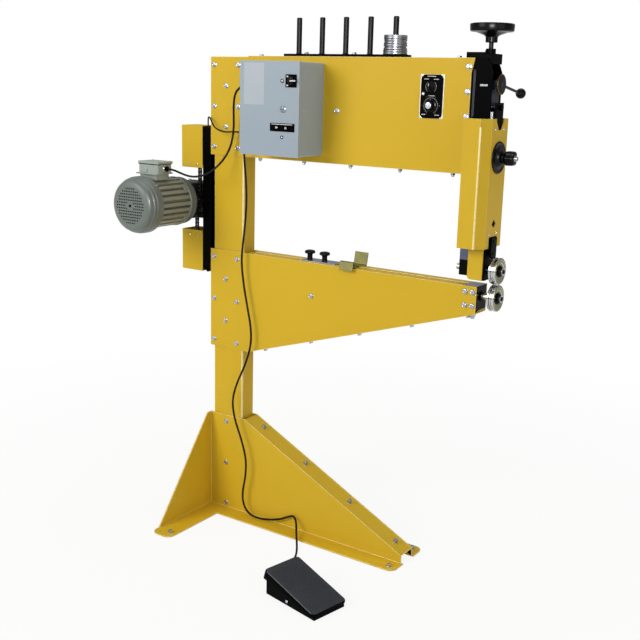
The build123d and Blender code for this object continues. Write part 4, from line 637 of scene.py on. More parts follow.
def hexagon_head(flats: float, height: float, washer: float = 0.0) -> Shape:
    """Hexagon head on +Z with its corners turned off at the top, on a washer.

    Args:
        flats: width across flats.
        height: of the head above the washer's foot.
        washer: radius of the washer, or 0 for none.

    Returns:
        Points and faces.
    """
    w = np.linspace(0, 2 * np.pi, 24, endpoint=False)
    hexagon = hexagon_reach(flats, w)
    rings = []
    foot = 1.4 if washer else 0.0
    for z, radii in ((foot, hexagon), (height - 1.3, hexagon),
                     (height - 0.5, np.minimum(hexagon, flats * 0.52)),
                     (height, np.full_like(w, flats * 0.44)), (height, np.full_like(w, flats * 0.34)),
                     (height - 0.35, np.full_like(w, flats * 0.3))):
        rings.append(np.stack([radii * np.cos(w), radii * np.sin(w), np.full_like(w, z)], 1))
    head = loft(np.array(rings))
    if not washer:
        return head
    disc = lathe([(0, washer), (foot - 0.3, washer), (foot, washer - 0.4)], (0, 0, 0), Z_AXIS, 24)
    return together([head, disc])


def screw_head(radius: float, height: float) -> Shape:
    """Pan-head screw on +Z: a low dome, height sin(s) at radius cos(s), with a flat at its top.

    Args:
        radius: of the head.
        height: of the dome.

    Returns:
        Points and faces.
    """
    share = np.linspace(0, 1, 6)
    profile = [(height * math.sin(s * math.pi / 2),
                radius * math.cos(s * math.pi / 2) * 0.96 + 0.04 * radius)
               for s in share[:-1]]
    return lathe([(0, radius)] + profile[1:] + [(height, radius * 0.18)], (0, 0, 0), Z_AXIS, 20)


def socket_head(radius: float, height: float) -> Shape:
    """Cap screw on +Z with a hexagon socket.

    Args:
        radius: of the head.
        height: of the head.

    Returns:
        Points and faces.
    """
    w = np.linspace(0, 2 * np.pi, 24, endpoint=False)
    key = hexagon_reach(radius, w)
    rings = [np.stack([r * np.cos(w), r * np.sin(w), np.full_like(w, z)], 1)
             for z, r in ((0, np.full_like(w, radius)), (height - 0.5, np.full_like(w, radius)),
                          (height, np.full_like(w, radius * 0.9)), (height, key), (height * 0.35, key))]
    return loft(np.array(rings))


# Workshop


def placed(name: str, data: bpy.types.ID) -> Thing:
    """Makes an object from its data and links it to the scene."""
    made = bpy.data.objects.new(name, data)
    bpy.context.scene.collection.objects.link(made)
    return made


def face_normals(mesh: bpy.types.Mesh) -> np.ndarray:
    """Gives the normals of a mesh's faces, one row each.

    Args:
        mesh: the mesh to read.

    Returns:
        An array of faces x 3.
    """
    normals = np.empty(3 * len(mesh.polygons))
    mesh.polygons.foreach_get("normal", normals)
    return normals.reshape(-1, 3)


@dataclass
class Bench:
    """Puts finished pieces into the scene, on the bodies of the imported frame.

    Attributes:
        nodes: CAD nodes by name.
        dressed: names of the nodes that have a finish or a stand-in.
    """

    nodes: dict
    dressed: set = field(default_factory=set)

    def body(self, node: str) -> str:
        """Gives the body that a CAD node belongs to."""
        return self.nodes[node]["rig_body"]

    def piece(self, name: str, shape: Shape, finish: Finish, body: str, replaces: Sequence[str] = (),
              crease: float = 32.0, soften: float = 0.0) -> Thing:
        """Makes a piece from points in millimetres and lets it ride on a body.

        Args:
            name: of the piece.
            shape: points and faces.
            finish: what it is made of.
            body: body that it moves with.
            replaces: CAD nodes that it stands for.
            crease: angle in degrees past which an edge stays sharp.
            soften: width of a bevel on its sharp edges, or 0.

        Returns:
            The object.
        """
        made = placed(name, self.mesh(name, shape))
        return self.finished(made, finish, body, replaces, crease, soften)

    def mesh(self, name: str, shape: Shape) -> bpy.types.Mesh:
        """Makes a mesh with outward faces from points in millimetres.

        Args:
            name: of the mesh.
            shape: points and faces.

        Returns:
            The mesh, in metres.
        """
        points, faces = shape
        made = bpy.data.meshes.new(name)
        made.from_pydata((np.asarray(points) * MM).tolist(), [], faces)
        made.update()
        self.outward(made)
        return made

    @staticmethod
    def outward(mesh: bpy.types.Mesh) -> None:
        """Turns every face of a closed mesh outwards.

        Args:
            mesh: the mesh.
        """
        work = bmesh.new()
        work.from_mesh(mesh)
        bmesh.ops.recalc_face_normals(work, faces=work.faces)
        work.to_mesh(mesh)
        work.free()

    def finished(self, made: Thing, finish: Finish, body: str, replaces: Sequence[str] = (),
                 crease: float = 32.0, soften: float = 0.0,
                 fold: Optional[Finish] = None) -> Thing:
        """Gives an object its finish, shading, bevel and body, and reports it.

        Args:
            made: the object.
            finish: what it is made of.
            body: body that it moves with.
            replaces: CAD nodes that it stands for.
            crease: angle in degrees past which an edge stays sharp.
            soften: width of a bevel on its sharp edges, or 0.
            fold: finish of the bevelled edges, where it isn't the same; here a paler finish that paints a
                highlight along the folds.

        Returns:
            The object.
        """
        made.data.materials.clear()
        made.data.materials.append(finish.material())
        made.data.polygons.foreach_set("use_smooth", np.ones(len(made.data.polygons), bool))
        made.data.set_sharp_from_angle(angle=math.radians(crease))
        if soften:
            bevel = made.modifiers.new("softened_edges", "BEVEL")
            bevel.width = soften * MM
            bevel.segments = 2
            bevel.limit_method = "ANGLE"
            bevel.angle_limit = math.radians(crease)
            bevel.harden_normals = True
            bevel.use_clamp_overlap = True
            if fold:
                made.data.materials.append(fold.material())
                bevel.material = len(made.data.materials) - 1
        if replaces:
            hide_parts(*replaces)
            self.dressed.update(replaces)
        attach(made, body)
        log.info("%s: %d faces, rides on %s", made.name, len(made.data.polygons), body)
        return made

    def refined(self, node: str, finish: Finish, soften: float = 0.8, crease: float = 32.0,
                fold: Optional[Finish] = None, flat: float = 0.4) -> Thing:
        """Copies a CAD node, joins its loose triangles to whole faces and softens its edges.

        Args:
            node: CAD node to stand for.
            finish: what it is made of.
            soften: width of the bevel, or 0.
            crease: angle in degrees past which an edge is sharp.
            fold: finish of the bevelled edges, where it isn't the same; here a paler finish that paints a
                highlight along the folds.
            flat: angle in degrees below which neighbouring triangles become one face.

        Returns:
            The object that replaces the node.
        """
        source = self.nodes[node]
        mesh = source.data.copy()
        work = bmesh.new()
        work.from_mesh(mesh)
        bmesh.ops.remove_doubles(work, verts=work.verts, dist=0.00001)
        bmesh.ops.dissolve_limit(work, angle_limit=math.radians(flat), verts=work.verts, edges=work.edges)
        work.to_mesh(mesh)
        work.free()
        mesh.name = f"{node}_finished"
        return self.finished(placed(mesh.name, mesh), finish, self.body(node), [node], crease, soften, fold)

    def carved(self, made: Thing, cutter: Shape) -> Thing:
        """Cuts a shape in millimetres out of an object for good.

        Args:
            made: object to cut.
            cutter: what is cut away, in millimetres.

        Returns:
            The object.
        """
        tool = placed("cutter", self.mesh("cutter", cutter))
        cut = made.modifiers.new("cut", "BOOLEAN")
        cut.operation = "DIFFERENCE"
        cut.solver = "EXACT"
        cut.object = tool
        bpy.context.view_layer.update()
        result = bpy.data.meshes.new_from_object(made.evaluated_get(bpy.context.evaluated_depsgraph_get()))
        made.modifiers.remove(cut)
        made.data = result
        bpy.data.objects.remove(tool)
        return made

    @staticmethod
    def second_face(made: Thing, finish: Finish, normal: Point) -> None:
        """Gives the faces that look along a direction another finish.

        Args:
            made: object to change.
            finish: what those faces are finished with.
            normal: the direction.
        """
        made.data.materials.append(finish.material())
        looks = face_normals(made.data) @ unit(normal) > 0.9
        made.data.polygons.foreach_set("material_index", looks.astype(np.int32))
        made.data.update()

    @staticmethod
    def highlight_round_corners(made: Thing, finish: Finish) -> None:
        """Gives the upright faces that look between the X and Y axes, the rounded corners, another finish: a
        paler one paints a highlight down them.

        Args:
            made: object to change.
            finish: what those faces are finished with.
        """
        made.data.materials.append(finish.material())
        looks = np.abs(face_normals(made.data))
        corner = (looks[:, 0] < 0.97) & (looks[:, 1] < 0.97) & (looks[:, 2] < 0.3)
        index = np.where(corner, len(made.data.materials) - 1, 0).astype(np.int32)
        made.data.polygons.foreach_set("material_index", index)
        made.data.update()

    def plain(self, node: str, finish: Finish) -> None:
        """Dresses a CAD node itself.

        Args:
            node: name of the CAD node.
            finish: what it is made of.
        """
        mesh = self.nodes[node].data
        mesh.materials.clear()
        mesh.materials.append(finish.material())
        self.dressed.add(node)


# Sub-assemblies


@dataclass
class SheetFrame:
    """Column, folded base and arms, with their bolts."""

    half_depth: float = 38.0
    bolt_flats: float = 13.0
    bolt_height: float = 6.0
    nut_height: float = 9.5
    stud_height: float = 14.0
    washer_radius: float = 8.4
    fold_softening: float = 2.4
    base_softening: float = 1.2
    column_middle: float = -8.5
    outer_row: float = 50.5
    top_bolts_z: float = 1569.0
    top_bolt_pitch: float = 134.0
    low_bolts_z: float = 925.0
    low_bolt_pitch: float = 148.0
    # x, middle height and pitch of the row at the head
    head_bolts: tuple = (870.0, 1505.0, 69.0)
    # x, z and half spacings of the four bolts in the bearing block
    block_bolts: tuple = (913.0, 913.5, 12.0, 20.5)
    arm_underside: float = 1274.0
    arm_top: float = 1598.0
    rack_top: float = 1606.0
    rack_ends: tuple = (212.0, 652.0)
    # past this x the rack's plate has no bolt
    rack_screw_free: float = 560.0
    # (x, z) of the spacer tubes and of the bolt under the arm's end
    spacers: tuple = ((431.0, 1436.0), (353.0, 841.0))
    end_bolt: tuple = (912.0, 861.5)
    # (x, y) of the bolts through the feet
    feet: tuple = ((710.0, 78.0), (-15.0, 322.0))
    # the two ends of each sloping flange, as (x, z)
    base_slope: tuple = ((79.0, 356.0), (731.0, 31.0))
    arm_slope: tuple = ((90.0, 605.0), (936.0, 868.0))

    def group(self, top: float, pitch: float) -> list:
        """Gives the eight places of the 3-2-3 pattern on the column."""
        x = self.column_middle
        outer = [(x + side * self.outer_row, top - row * pitch) for side in (-1, 1) for row in range(3)]
        return outer + [(x, top - (row + 0.5) * pitch) for row in range(2)]

    def through(self, places: Sequence[Point]) -> Shape:
        """Bolt heads at the same places on the front and the rear webs.

        Args:
            places: (x, z) of each bolt.

        Returns:
            Points and faces.
        """
        head = hexagon_head(self.bolt_flats, self.bolt_height, self.washer_radius)
        front = repeated(head, [(x, -self.half_depth, z) for x, z in places], FRONT)
        rear = repeated(head, [(x, self.half_depth, z) for x, z in places], Y_AXIS)
        return together([front, rear])

    def along_slope(self, slope: tuple, first: float, pitch: float, count: int, outward: int) -> Shape:
        """Bolt heads along the middle of a sloping flange.

        Args:
            slope: its two ends, as (x, z).
            first: distance of the first bolt from its start.
            pitch: distance between bolts.
            count: how many bolts.
            outward: 1 or -1, for the side they are on.

        Returns:
            Points and faces.
        """
        (x0, z0), (x1, z1) = slope
        along = unit((x1 - x0, 0, z1 - z0))
        normal = outward * np.array((-along[2], 0.0, along[0]))
        spots = [np.array((x0, 0, z0)) + along * (first + k * pitch) for k in range(count)]
        return repeated(hexagon_head(self.bolt_flats, self.nut_height, self.washer_radius), spots, normal)

    def level(self, spots: Sequence[Point], up: int = 1) -> Shape:
        """Bolt heads on a level surface."""
        head = hexagon_head(self.bolt_flats, self.nut_height, self.washer_radius)
        return repeated(head, spots, (0, 0, up))

    def stud_ends(self, spots: Sequence[Point], up: int) -> Shape:
        """Threaded bolt ends that stand out of the nuts on a level surface.

        Args:
            spots: where they stand.
            up: 1 or -1, for the way they point.

        Returns:
            Points and faces.
        """
        end = lathe(eased([(self.nut_height - 1.0, 1.0), (self.nut_height - 1.0, 4.0),
                           (self.stud_height - 0.8, 4.0),
                           (self.stud_height, 3.0), (self.stud_height, 0.5)], 0.4, 2), (0, 0, 0), Z_AXIS, 20)
        return repeated(end, spots, (0, 0, up))

    def build(self, bench: Bench) -> None:
        """Builds the frame's pieces."""
        # The pale fold finish paints a highlight on every bevel of the sheets and down the column's rounded
        # corners.
        column = bench.refined("column", YELLOW, self.fold_softening, fold=YELLOW_FOLD_HIGHLIGHT)
        bench.highlight_round_corners(column, YELLOW_FOLD_HIGHLIGHT)
        for side in ("front", "rear"):
            bench.refined(f"base_sheet_{side}", YELLOW, self.base_softening, fold=YELLOW_FOLD_HIGHLIGHT)
        for arm in ("upper_arm", "lower_arm"):
            for side in ("front", "rear"):
                bench.refined(f"{arm}_{side}", YELLOW, self.fold_softening, fold=YELLOW_FOLD_HIGHLIGHT)
        block = bench.refined("lower_bearing_block", OILED_BLOCK, 0.8)
        bench.second_face(block, BRIGHT_BAR, Z_AXIS)
        x, middle, pitch = self.head_bolts
        upper = self.group(self.top_bolts_z, self.top_bolt_pitch) + [self.spacers[0]]
        upper += [(x, middle + pitch * k) for k in (-1, 0, 1)]
        x, z, half_x, half_z = self.block_bolts
        lower = self.group(self.low_bolts_z, self.low_bolt_pitch) + [self.spacers[1]]
        lower += [(x + i * half_x, z + k * half_z) for i in (-1, 1) for k in (-1, 1)]
        rows = [108.0 + 178.0 * k for k in range(5)]
        under = [(x, 0, self.arm_underside) for x in rows]
        arm = together([
            self.through(upper + lower),
            self.level(under, -1),
            self.stud_ends(under, -1),
            self.along_slope(self.arm_slope, 52.0, 198.0, 5, -1)])
        bench.piece("arm_bolt_heads", arm, ZINC, "frame", ["arm_bolts"])
        low = hexagon_head(self.bolt_flats, self.bolt_height, self.washer_radius)
        start, end = self.rack_ends
        top = [(x, 0, self.rack_top if start < x < self.rack_screw_free else self.arm_top) for x in rows
               if not self.rack_screw_free < x < end]
        bench.piece("top_bolt_heads", repeated(low, top, Z_AXIS), DULL_ZINC, "frame")
        base = together([
            self.through([(-2.0, 19.0 + 157.0 * k) for k in range(3)]),
            self.along_slope(self.base_slope, 64.0, 205.0, 4, 1),
            self.level([(x, side * y, 4.5) for side in (-1, 1) for x, y in self.feet])])
        bench.piece("base_bolt_heads", base, ZINC, "frame", ["base_bolts"])
        x, z = self.end_bolt
        stud = lathe(eased([(0.0, 0.5), (0.0, 6.0), (15.0, 6.0), (16.0, 5.0), (16.0, 0.5)], 0.5, 2),
                     (x, 0, z), DOWN, 24)
        stud = together([stud, repeated(hexagon_head(16.0, 9.0, 11.0), [(x, 0, z - 0.5)], DOWN)])
        bench.piece("arm_end_bolt", stud, ZINC, "frame")
        spacers = together([lathe([(0, 10.0), (67.0, 10.0)], (x, -33.5, z), Y_AXIS, 24)
                            for x, z in self.spacers])
        bench.piece("arm_spacer_tubes", spacers, ZINC, "frame")


@dataclass
class RearDrive:
    """Channel, chains, guards, gearbox and the shafts at the back."""

    gearbox_x: float = -200.0
    drive_z: float = 1108.6
    flange_circle: float = 32.0
    guard_x: tuple = (-134.0, -170.0)
    guard_z: tuple = (1237.0, 990.0)
    guard_half: float = 40.0

    def build(self, bench: Bench) -> None:
        """Builds the drive's pieces."""
        bench.refined("drive_channel", BLACK_COAT, 0.8)
        for node in ("upper_chain_guard", "lower_chain_guard"):
            bench.refined(node, YELLOW, 0.7)
        bench.refined("gearbox_housing", GEAR_COAT, 1.6)
        for node in ("gearbox_output", "upper_sprockets", "lower_sprocket"):
            bench.refined(node, CHAIN, 0.0, 25.0)
        for node in ("drive_chains", "head_chain"):
            bench.refined(node, CHAIN, 0.0, 30.0)
        for node in ("upper_shaft", "lower_spindle"):
            bench.refined(node, SHAFT_STEEL, 0.0)
        self.fasten(bench)

    def fasten(self, bench: Bench) -> None:
        """Adds the fasteners of the guards and the gearbox."""
        head = screw_head(3.2, 2.0)
        guards = [repeated(head, [(x, side * self.guard_half, z)], (0, side, 0))
                  for z in self.guard_z for x in self.guard_x for side in (-1, 1)]
        bench.piece("guard_screws", together(guards), ZINC, "frame")
        circle = [(self.flange_circle * math.cos(w), self.flange_circle * math.sin(w))
                  for w in np.arange(4) * QUARTER + QUARTER / 2]
        face = [(self.gearbox_x - 55.0, across, self.drive_z + up) for across, up in circle]
        end = [(self.gearbox_x + across, 61.0, self.drive_z + up) for across, up in circle]
        corner = [(self.gearbox_x + i * 40.0, 56.0, self.drive_z + k * 52.0)
                  for i in (-1, 1) for k in (-1, 1)]
        heads = together([repeated(socket_head(4.0, 4.0), face, (-1, 0, 0)),
                          repeated(socket_head(4.0, 4.0), end + corner, Y_AXIS)])
        bench.piece("gearbox_screws", heads, BLACK_OXIDE, "frame")
        plug = repeated(hexagon_head(10.0, 4.5, 6.5), [(self.gearbox_x - 30.0, 30.0, self.drive_z + 62.0)],
                        Z_AXIS)
        bench.piece("gearbox_filler_plug", plug, ZINC, "frame")


@dataclass
class Motor:
    """Geared motor across the back: fan cover, finned body, terminal box and fan."""

    x: float = -200.0
    z: float = 1108.6
    hood_rear: float = -238.0
    hood_front: float = -299.0
    hood_radius: float = 95.0
    wall: float = 2.5
    bell_y: float = -86.0
    flange_y: float = -57.0
    slot_width: float = 5.6
    slot_height: float = 4.4
    slot_pitch_x: float = 8.2
    slot_pitch_z: float = 9.4
    grille_radius: float = 63.0
    grille_hub: float = 17.0
    fins: int = 24
    fin_radius: float = 82.0
    fin_depth: float = 16.0
    bore: float = 30.0
    box_low: float = 1190.6
    base_level: float = 1208.5
    box_top: float = 1250.0
    box_y: tuple = (-222.0, -142.0)
    box_half_x: float = 44.0
    set_back: float = 8.0

    def grille(self) -> Shape:
        """Boxes of the slots, in rows and columns inside the grille's circle and round its hub.

        Returns:
            Points and faces.
        """
        across = np.arange(-9, 10) * self.slot_pitch_x
        down = np.arange(-7, 8) * self.slot_pitch_z
        x, z = (axis.ravel() for axis in np.meshgrid(across, down))
        reach = np.hypot(np.abs(x) + self.slot_width / 2, np.abs(z) + self.slot_height / 2)
        keep = (reach < self.grille_radius) & (np.hypot(x, z) > self.grille_hub)
        half = np.array((self.slot_width / 2, 8.0, self.slot_height / 2))
        spots = np.stack([self.x + x[keep], np.full(keep.sum(), self.hood_front), self.z + z[keep]], 1)
        return copies(box_shape(-half, half), spots)

    def hood_profile(self) -> list:
        """Closed section of the fan cover from its rim over the ridged shoulder to its face.

        Returns:
            Points (a, r) of the ring.
        """
        depth, radius, wall = self.hood_rear - self.hood_front, self.hood_radius, self.wall
        outside = eased([(0.0, radius), (26.0, radius - 0.6), (28.0, radius - 2.6), (38.0, radius - 3.4),
                         (40.0, radius - 5.6), (depth - 19.0, radius - 7.0), (depth - 9.0, radius - 10.0),
                         (depth - 2.5, radius - 18.0), (depth, radius - 29.0), (depth, 4.0)], 4.0, 5)
        inside = eased([(depth - wall, 4.0), (depth - wall, radius - 30.0),
                        (depth - 9.0 - wall, radius - 15.0),
                        (30.0, radius - 7.0 - wall), (0.0, radius - wall)], 3.0, 3)
        return np.vstack([outside, inside])

    def build(self, bench: Bench) -> None:
        """Builds the motor's pieces."""
        self.build_hood(bench)
        self.build_body(bench)
        self.build_terminal_box(bench)
        bench.refined("motor_fan", MOULDED, 0.0)

    def build_hood(self, bench: Bench) -> None:
        """Builds the fan cover with its grille and screws."""
        shell = lathe(self.hood_profile(), (self.x, self.hood_rear, self.z), FRONT, 96, True)
        hood = bench.piece("motor_fan_cover_finished", shell, MOTOR_COAT, "frame", ["motor_fan_cover"], 40.0)
        bench.carved(hood, self.grille())
        hood.data.polygons.foreach_set("use_smooth", np.ones(len(hood.data.polygons), bool))
        hood.data.set_sharp_from_angle(angle=math.radians(40.0))
        shield = lathe(eased([(0.0, 8.5), (0.0, 88.0), (1.5, 88.6), (2.0, 88.0), (2.0, 8.5)], 0.4, 2),
                       (self.x, self.hood_rear - 6.0, self.z), FRONT, 64, True)
        bench.piece("motor_end_shield", shield, FIN_COAT, "frame")
        hub = lathe([(0, 4.4), (-2.4, 4.4), (-2.4, 3.0), (-1.0, 2.6)],
                    (self.x, self.hood_front + 0.4, self.z), Y_AXIS, 24)
        bench.piece("fan_cover_plug", hub, MOULDED, "frame")
        ring = [(self.x + (self.hood_radius - 0.4) * math.cos(w), self.hood_rear - 6.0,
                 self.z + (self.hood_radius - 0.4) * math.sin(w)) for w in np.radians((45, 135, 225, 315))]
        screws = together([repeated(hexagon_head(8.0, 4.0), [spot],
                                    (spot[0] - self.x, 0, spot[2] - self.z)) for spot in ring])
        bench.piece("fan_cover_screws", screws, ZINC, "frame")

    def build_body(self, bench: Bench) -> None:
        """Builds the ribbed body, the end bell and its bolts."""
        length = self.bell_y - self.hood_rear

        def gaps(a: np.ndarray, w: np.ndarray) -> np.ndarray:
            """Radius factor: narrow square-sided gaps between the fins."""
            share = np.abs((w * self.fins / (2 * np.pi)) % 1.0 - 0.5)
            gap = np.clip((0.19 - share) / 0.04, 0, 1) * np.ones_like(a)
            return 1 - self.fin_depth / self.fin_radius * gap

        ribbed = lathe([(0.0, self.bore), (0.0, self.fin_radius), (length + 8.0, self.fin_radius),
                        (length + 8.0, self.bore)], (self.x, self.bell_y, self.z), FRONT, 18 * self.fins,
                       True, gaps)
        bench.piece("motor_body_ribbed", ribbed, FIN_COAT, "frame", ["motor_body"], 32.0)
        bell = lathe(eased([(0.0, 40.0), (0.0, 81.0), (10.0, 81.6), (14.0, 80.0), (30.0, 80.6),
                            (31.0, 72.0)], 2.5, 4), (self.x, self.flange_y + 0.2, self.z), FRONT, 96)
        bench.piece("motor_end_bell", bell, MOTOR_COAT, "frame", (), 40.0)
        rim = lathe(eased([(0.0, 70.0), (0.0, 84.0), (5.0, 84.6), (6.5, 83.0), (6.5, 70.0)], 1.2, 3),
                    (self.x, self.bell_y + 0.2, self.z), FRONT, 96)
        bench.piece("motor_body_rim", rim, FIN_COAT, "frame", (), 40.0)
        for k, w in enumerate(np.radians((38, 142, 218, 322))):
            spot = np.array((self.x + 76.0 * math.cos(w), 0.0, self.z + 76.0 * math.sin(w)))
            lug = lathe(eased([(0.0, 1.0), (0.0, 8.0), (22.0, 8.0), (24.0, 6.5), (24.0, 1.0)], 1.0, 2),
                        (spot[0], self.bell_y + 2.0, spot[2]), FRONT, 24)
            bench.piece(f"motor_lug_{k + 1}", lug, FIN_COAT, "frame")
        bolts = [(self.x + 68.0 * math.cos(w), self.flange_y - 1.0, self.z + 68.0 * math.sin(w))
                 for w in np.radians((45, 135, 225, 315))]
        bench.piece("motor_flange_bolts", repeated(hexagon_head(10.0, 6.0), bolts, Y_AXIS), ZINC, "frame")
        log.info("motor body is %.0f mm long between its covers", length)

    def build_terminal_box(self, bench: Bench) -> None:
        """Builds the terminal box: gasket, body with rounded walls, lid and its screws."""
        middle = (self.x, sum(self.box_y) / 2, 0.0)
        width, length = 2 * self.box_half_x, self.box_y[1] - self.box_y[0]

        def tier(low: float, high: float, grow: float, radius: float, back: float = 0.0) -> Shape:
            """One level of the box, grown to all sides and with its front set back."""
            return drawn(rounded_rectangle(width + 2 * grow, length + 2 * grow - back, radius),
                         (middle[0], middle[1] + back / 2, low), X_AXIS, Y_AXIS, high - low)

        body = together([tier(self.box_low - 2.0, self.base_level, -7.0, 5.0),
                         tier(self.base_level - 0.5, self.base_level + 3.5, 3.0, 6.0),
                         tier(self.base_level + 3.0, self.box_top - 9.6, 0.0, 9.0, self.set_back)])
        bench.piece("terminal_box_body", body, BOX_COAT, "frame", ["terminal_box"], 35.0, 0.8)
        bench.piece("terminal_box_gasket",
                    tier(self.box_top - 9.8, self.box_top - 8.2, 1.6, 8.0, self.set_back), MOULDED, "frame")
        lid = tier(self.box_top - 8.2, self.box_top - 0.2, 3.0, 7.0, self.set_back + 2.0)
        bench.piece("terminal_box_lid", lid, BOX_COAT, "frame", (), 35.0, 1.6)
        spots = [(self.x + i * 39.0, middle[1] + 4.0 + k * 31.0, self.box_top - 0.4)
                 for i in (-1, 1) for k in (-1, 1)]
        bench.piece("terminal_box_screws", repeated(screw_head(3.6, 1.6), spots, Z_AXIS), ZINC, "frame")
        boss = lathe(eased([(0.0, 0.5), (0.0, 12.0), (4.0, 12.0), (5.0, 10.5), (5.0, 0.5)], 1.0, 3),
                     (self.x + self.box_half_x - 1.0, -176.0, 1226.0), X_AXIS, 32)
        bench.piece("terminal_box_boss", boss, ZINC, "frame")
        knock = lathe(eased([(0.0, 0.5), (0.0, 9.0), (2.0, 9.0), (2.6, 8.0), (2.6, 0.5)], 0.6, 3),
                      (self.x - 10.0, self.box_y[0] + self.set_back + 0.4, 1222.0), FRONT, 32)
        bench.piece("terminal_box_blank", knock, BOX_COAT, "frame")


@dataclass
class Head:
    """Lifting head: housing, cover, screw with handwheel, lift lever and knob on the shaft's end."""

    screw_x: float = 916.0
    shaft_z: float = 1324.5
    cover_end: float = 960.0
    cam_x: tuple = (945.0, 958.0)
    cam_z: float = 1527.0
    lever_reach: float = 150.0
    lever_drop: float = 9.0
    ball_radius: float = 15.0
    # the cover's front fold as (x, y), then the span and radius of the painted highlight along it
    fold: tuple = (934.5, 75.25)
    highlight_z: tuple = (1066.4, 1410.0)
    highlight_radius: float = 4.0
    lower_shaft_z: float = 918.1

    def build(self, bench: Bench) -> None:
        """Builds the head's pieces."""
        bench.refined("head_housing", BLACK_COAT, 0.9)
        # The cover's bevels take the pale fold finish, a painted highlight; two pale tubes paint the
        # highlight down its front folds.
        bench.refined("head_cover", YELLOW, 2.8, 20.0, YELLOW_FOLD_HIGHLIGHT)
        (x, y), (low, high) = self.fold, self.highlight_z
        folds = [tube(np.linspace((x, side * y, low), (x, side * y, high), 3), self.highlight_radius, 48)
                 for side in (-1, 1)]
        bench.piece("cover_fold_highlights", together(folds), YELLOW_FOLD_HIGHLIGHT, "frame")
        bench.refined("adjuster_block", BLUED_AND_EDGE_SHEEN, 0.8)
        bench.refined("adjusting_screw", BLACK_OXIDE, 0.0)
        bench.refined("lift_plate", BLACK_COAT, 0.6)
        bench.refined("roll_carrier", YELLOW, 1.0)
        bench.refined("jackshaft", CHAIN, 0.0, 25.0)
        bench.refined("upper_roll_shaft", SHAFT_STEEL, 0.0, 25.0)
        self.build_handwheel(bench)
        self.build_lever(bench)
        self.build_shaft_end(bench)
        self.fasten(bench)

    def build_handwheel(self, bench: Bench) -> None:
        """Builds the handwheel: thick rim, cupped web, hub with its nut, and the screw's thread."""
        section = [(1640.2, 6.6), (1640.2, 15.5), (1641.5, 16.8), (1655.0, 17.0), (1660.0, 22.0),
                   (1668.0, 44.0),
                   (1669.5, 52.0), (1669.7, 58.0), (1671.0, 60.4), (1674.0, 61.2), (1688.0, 62.0),
                   (1690.6, 61.0),
                   (1691.8, 57.0), (1691.0, 52.0), (1687.0, 50.5), (1679.0, 49.0), (1676.0, 46.0),
                   (1668.0, 24.0), (1668.0, 18.5), (1691.0, 16.5), (1691.8, 15.0), (1691.8, 6.6)]
        wheel = lathe(section, (self.screw_x, 0, 0), Z_AXIS, 96, True)
        bench.piece("handwheel_moulded", wheel, PHENOLIC, "handwheel", ["handwheel"], 36.0, 0.8)
        nut = repeated(hexagon_head(12.0, 1.6), [(self.screw_x, 0, 1690.4)], Z_AXIS)
        bench.piece("handwheel_nut", nut, ZINC, "handwheel")
        turns = np.linspace(0, 2 * np.pi * 9, 9 * 24 + 1)
        radius, pitch = 6.0, 1.5
        line = np.stack([self.screw_x + radius * np.cos(turns), radius * np.sin(turns),
                         1625.4 + turns / (2 * np.pi) * pitch], 1)
        bench.piece("screw_thread_crest", tube(line, 0.5, 6), BLACK_OXIDE, "handwheel")

    def build_lever(self, bench: Bench) -> None:
        """Builds the cam disc with its bronze ring, the tapered lever and its ball."""
        width = self.cam_x[1] - self.cam_x[0]
        disc = lathe(eased([(0.0, 8.1), (0.0, 15.0), (6.4, 15.0), (6.6, 28.2), (7.4, 29.0),
                            (width - 2.4, 29.0),
                            (width - 2.0, 27.2), (width - 0.6, 26.0), (width - 0.6, 14.0), (width, 12.0),
                            (width, 8.1)], 0.6, 3), (self.cam_x[0], 0, self.cam_z), X_AXIS, 72, True)
        bench.piece("lift_cam", disc, BLACK_OXIDE, "lift_lever", ["lift_lever"], 36.0)
        ring = lathe(eased([(0.0, 24.0), (0.0, 28.6), (0.8, 28.6), (1.2, 27.6), (1.2, 24.0)], 0.3, 2),
                     (self.cam_x[1] - 2.4, 0, self.cam_z), X_AXIS, 72, True)
        bench.piece("lift_cam_ring", ring, BRONZE, "lift_lever")
        drop = math.radians(self.lever_drop)
        direction = np.array((0.0, math.cos(drop), -math.sin(drop)))
        middle = np.array(((self.cam_x[0] + self.cam_x[1]) / 2, 0.0, self.cam_z))
        arm = lathe(eased([(15.0, 5.4), (31.0, 5.2), (36.0, 4.0), (self.lever_reach - 14.0, 3.8),
                           (self.lever_reach - 8.0, 3.8)], 2.0, 3), middle, direction, 24)
        bench.piece("lift_lever_arm", arm, BLACK_OXIDE, "lift_lever")
        w = np.linspace(0.4, np.pi - 0.03, 24)
        shape = lathe(np.stack([-self.ball_radius * np.cos(w), self.ball_radius * np.sin(w)], 1),
                      middle + direction * self.lever_reach, direction, 48)
        bench.piece("lift_lever_ball", shape, PHENOLIC, "lift_lever", (), 40.0)
        neck = lathe(eased([(-19.0, 3.9), (-19.0, 6.4), (-12.0, 7.2)], 0.6, 3),
                     middle + direction * self.lever_reach, direction, 32)
        bench.piece("lift_lever_ball_neck", neck, PHENOLIC, "lift_lever")

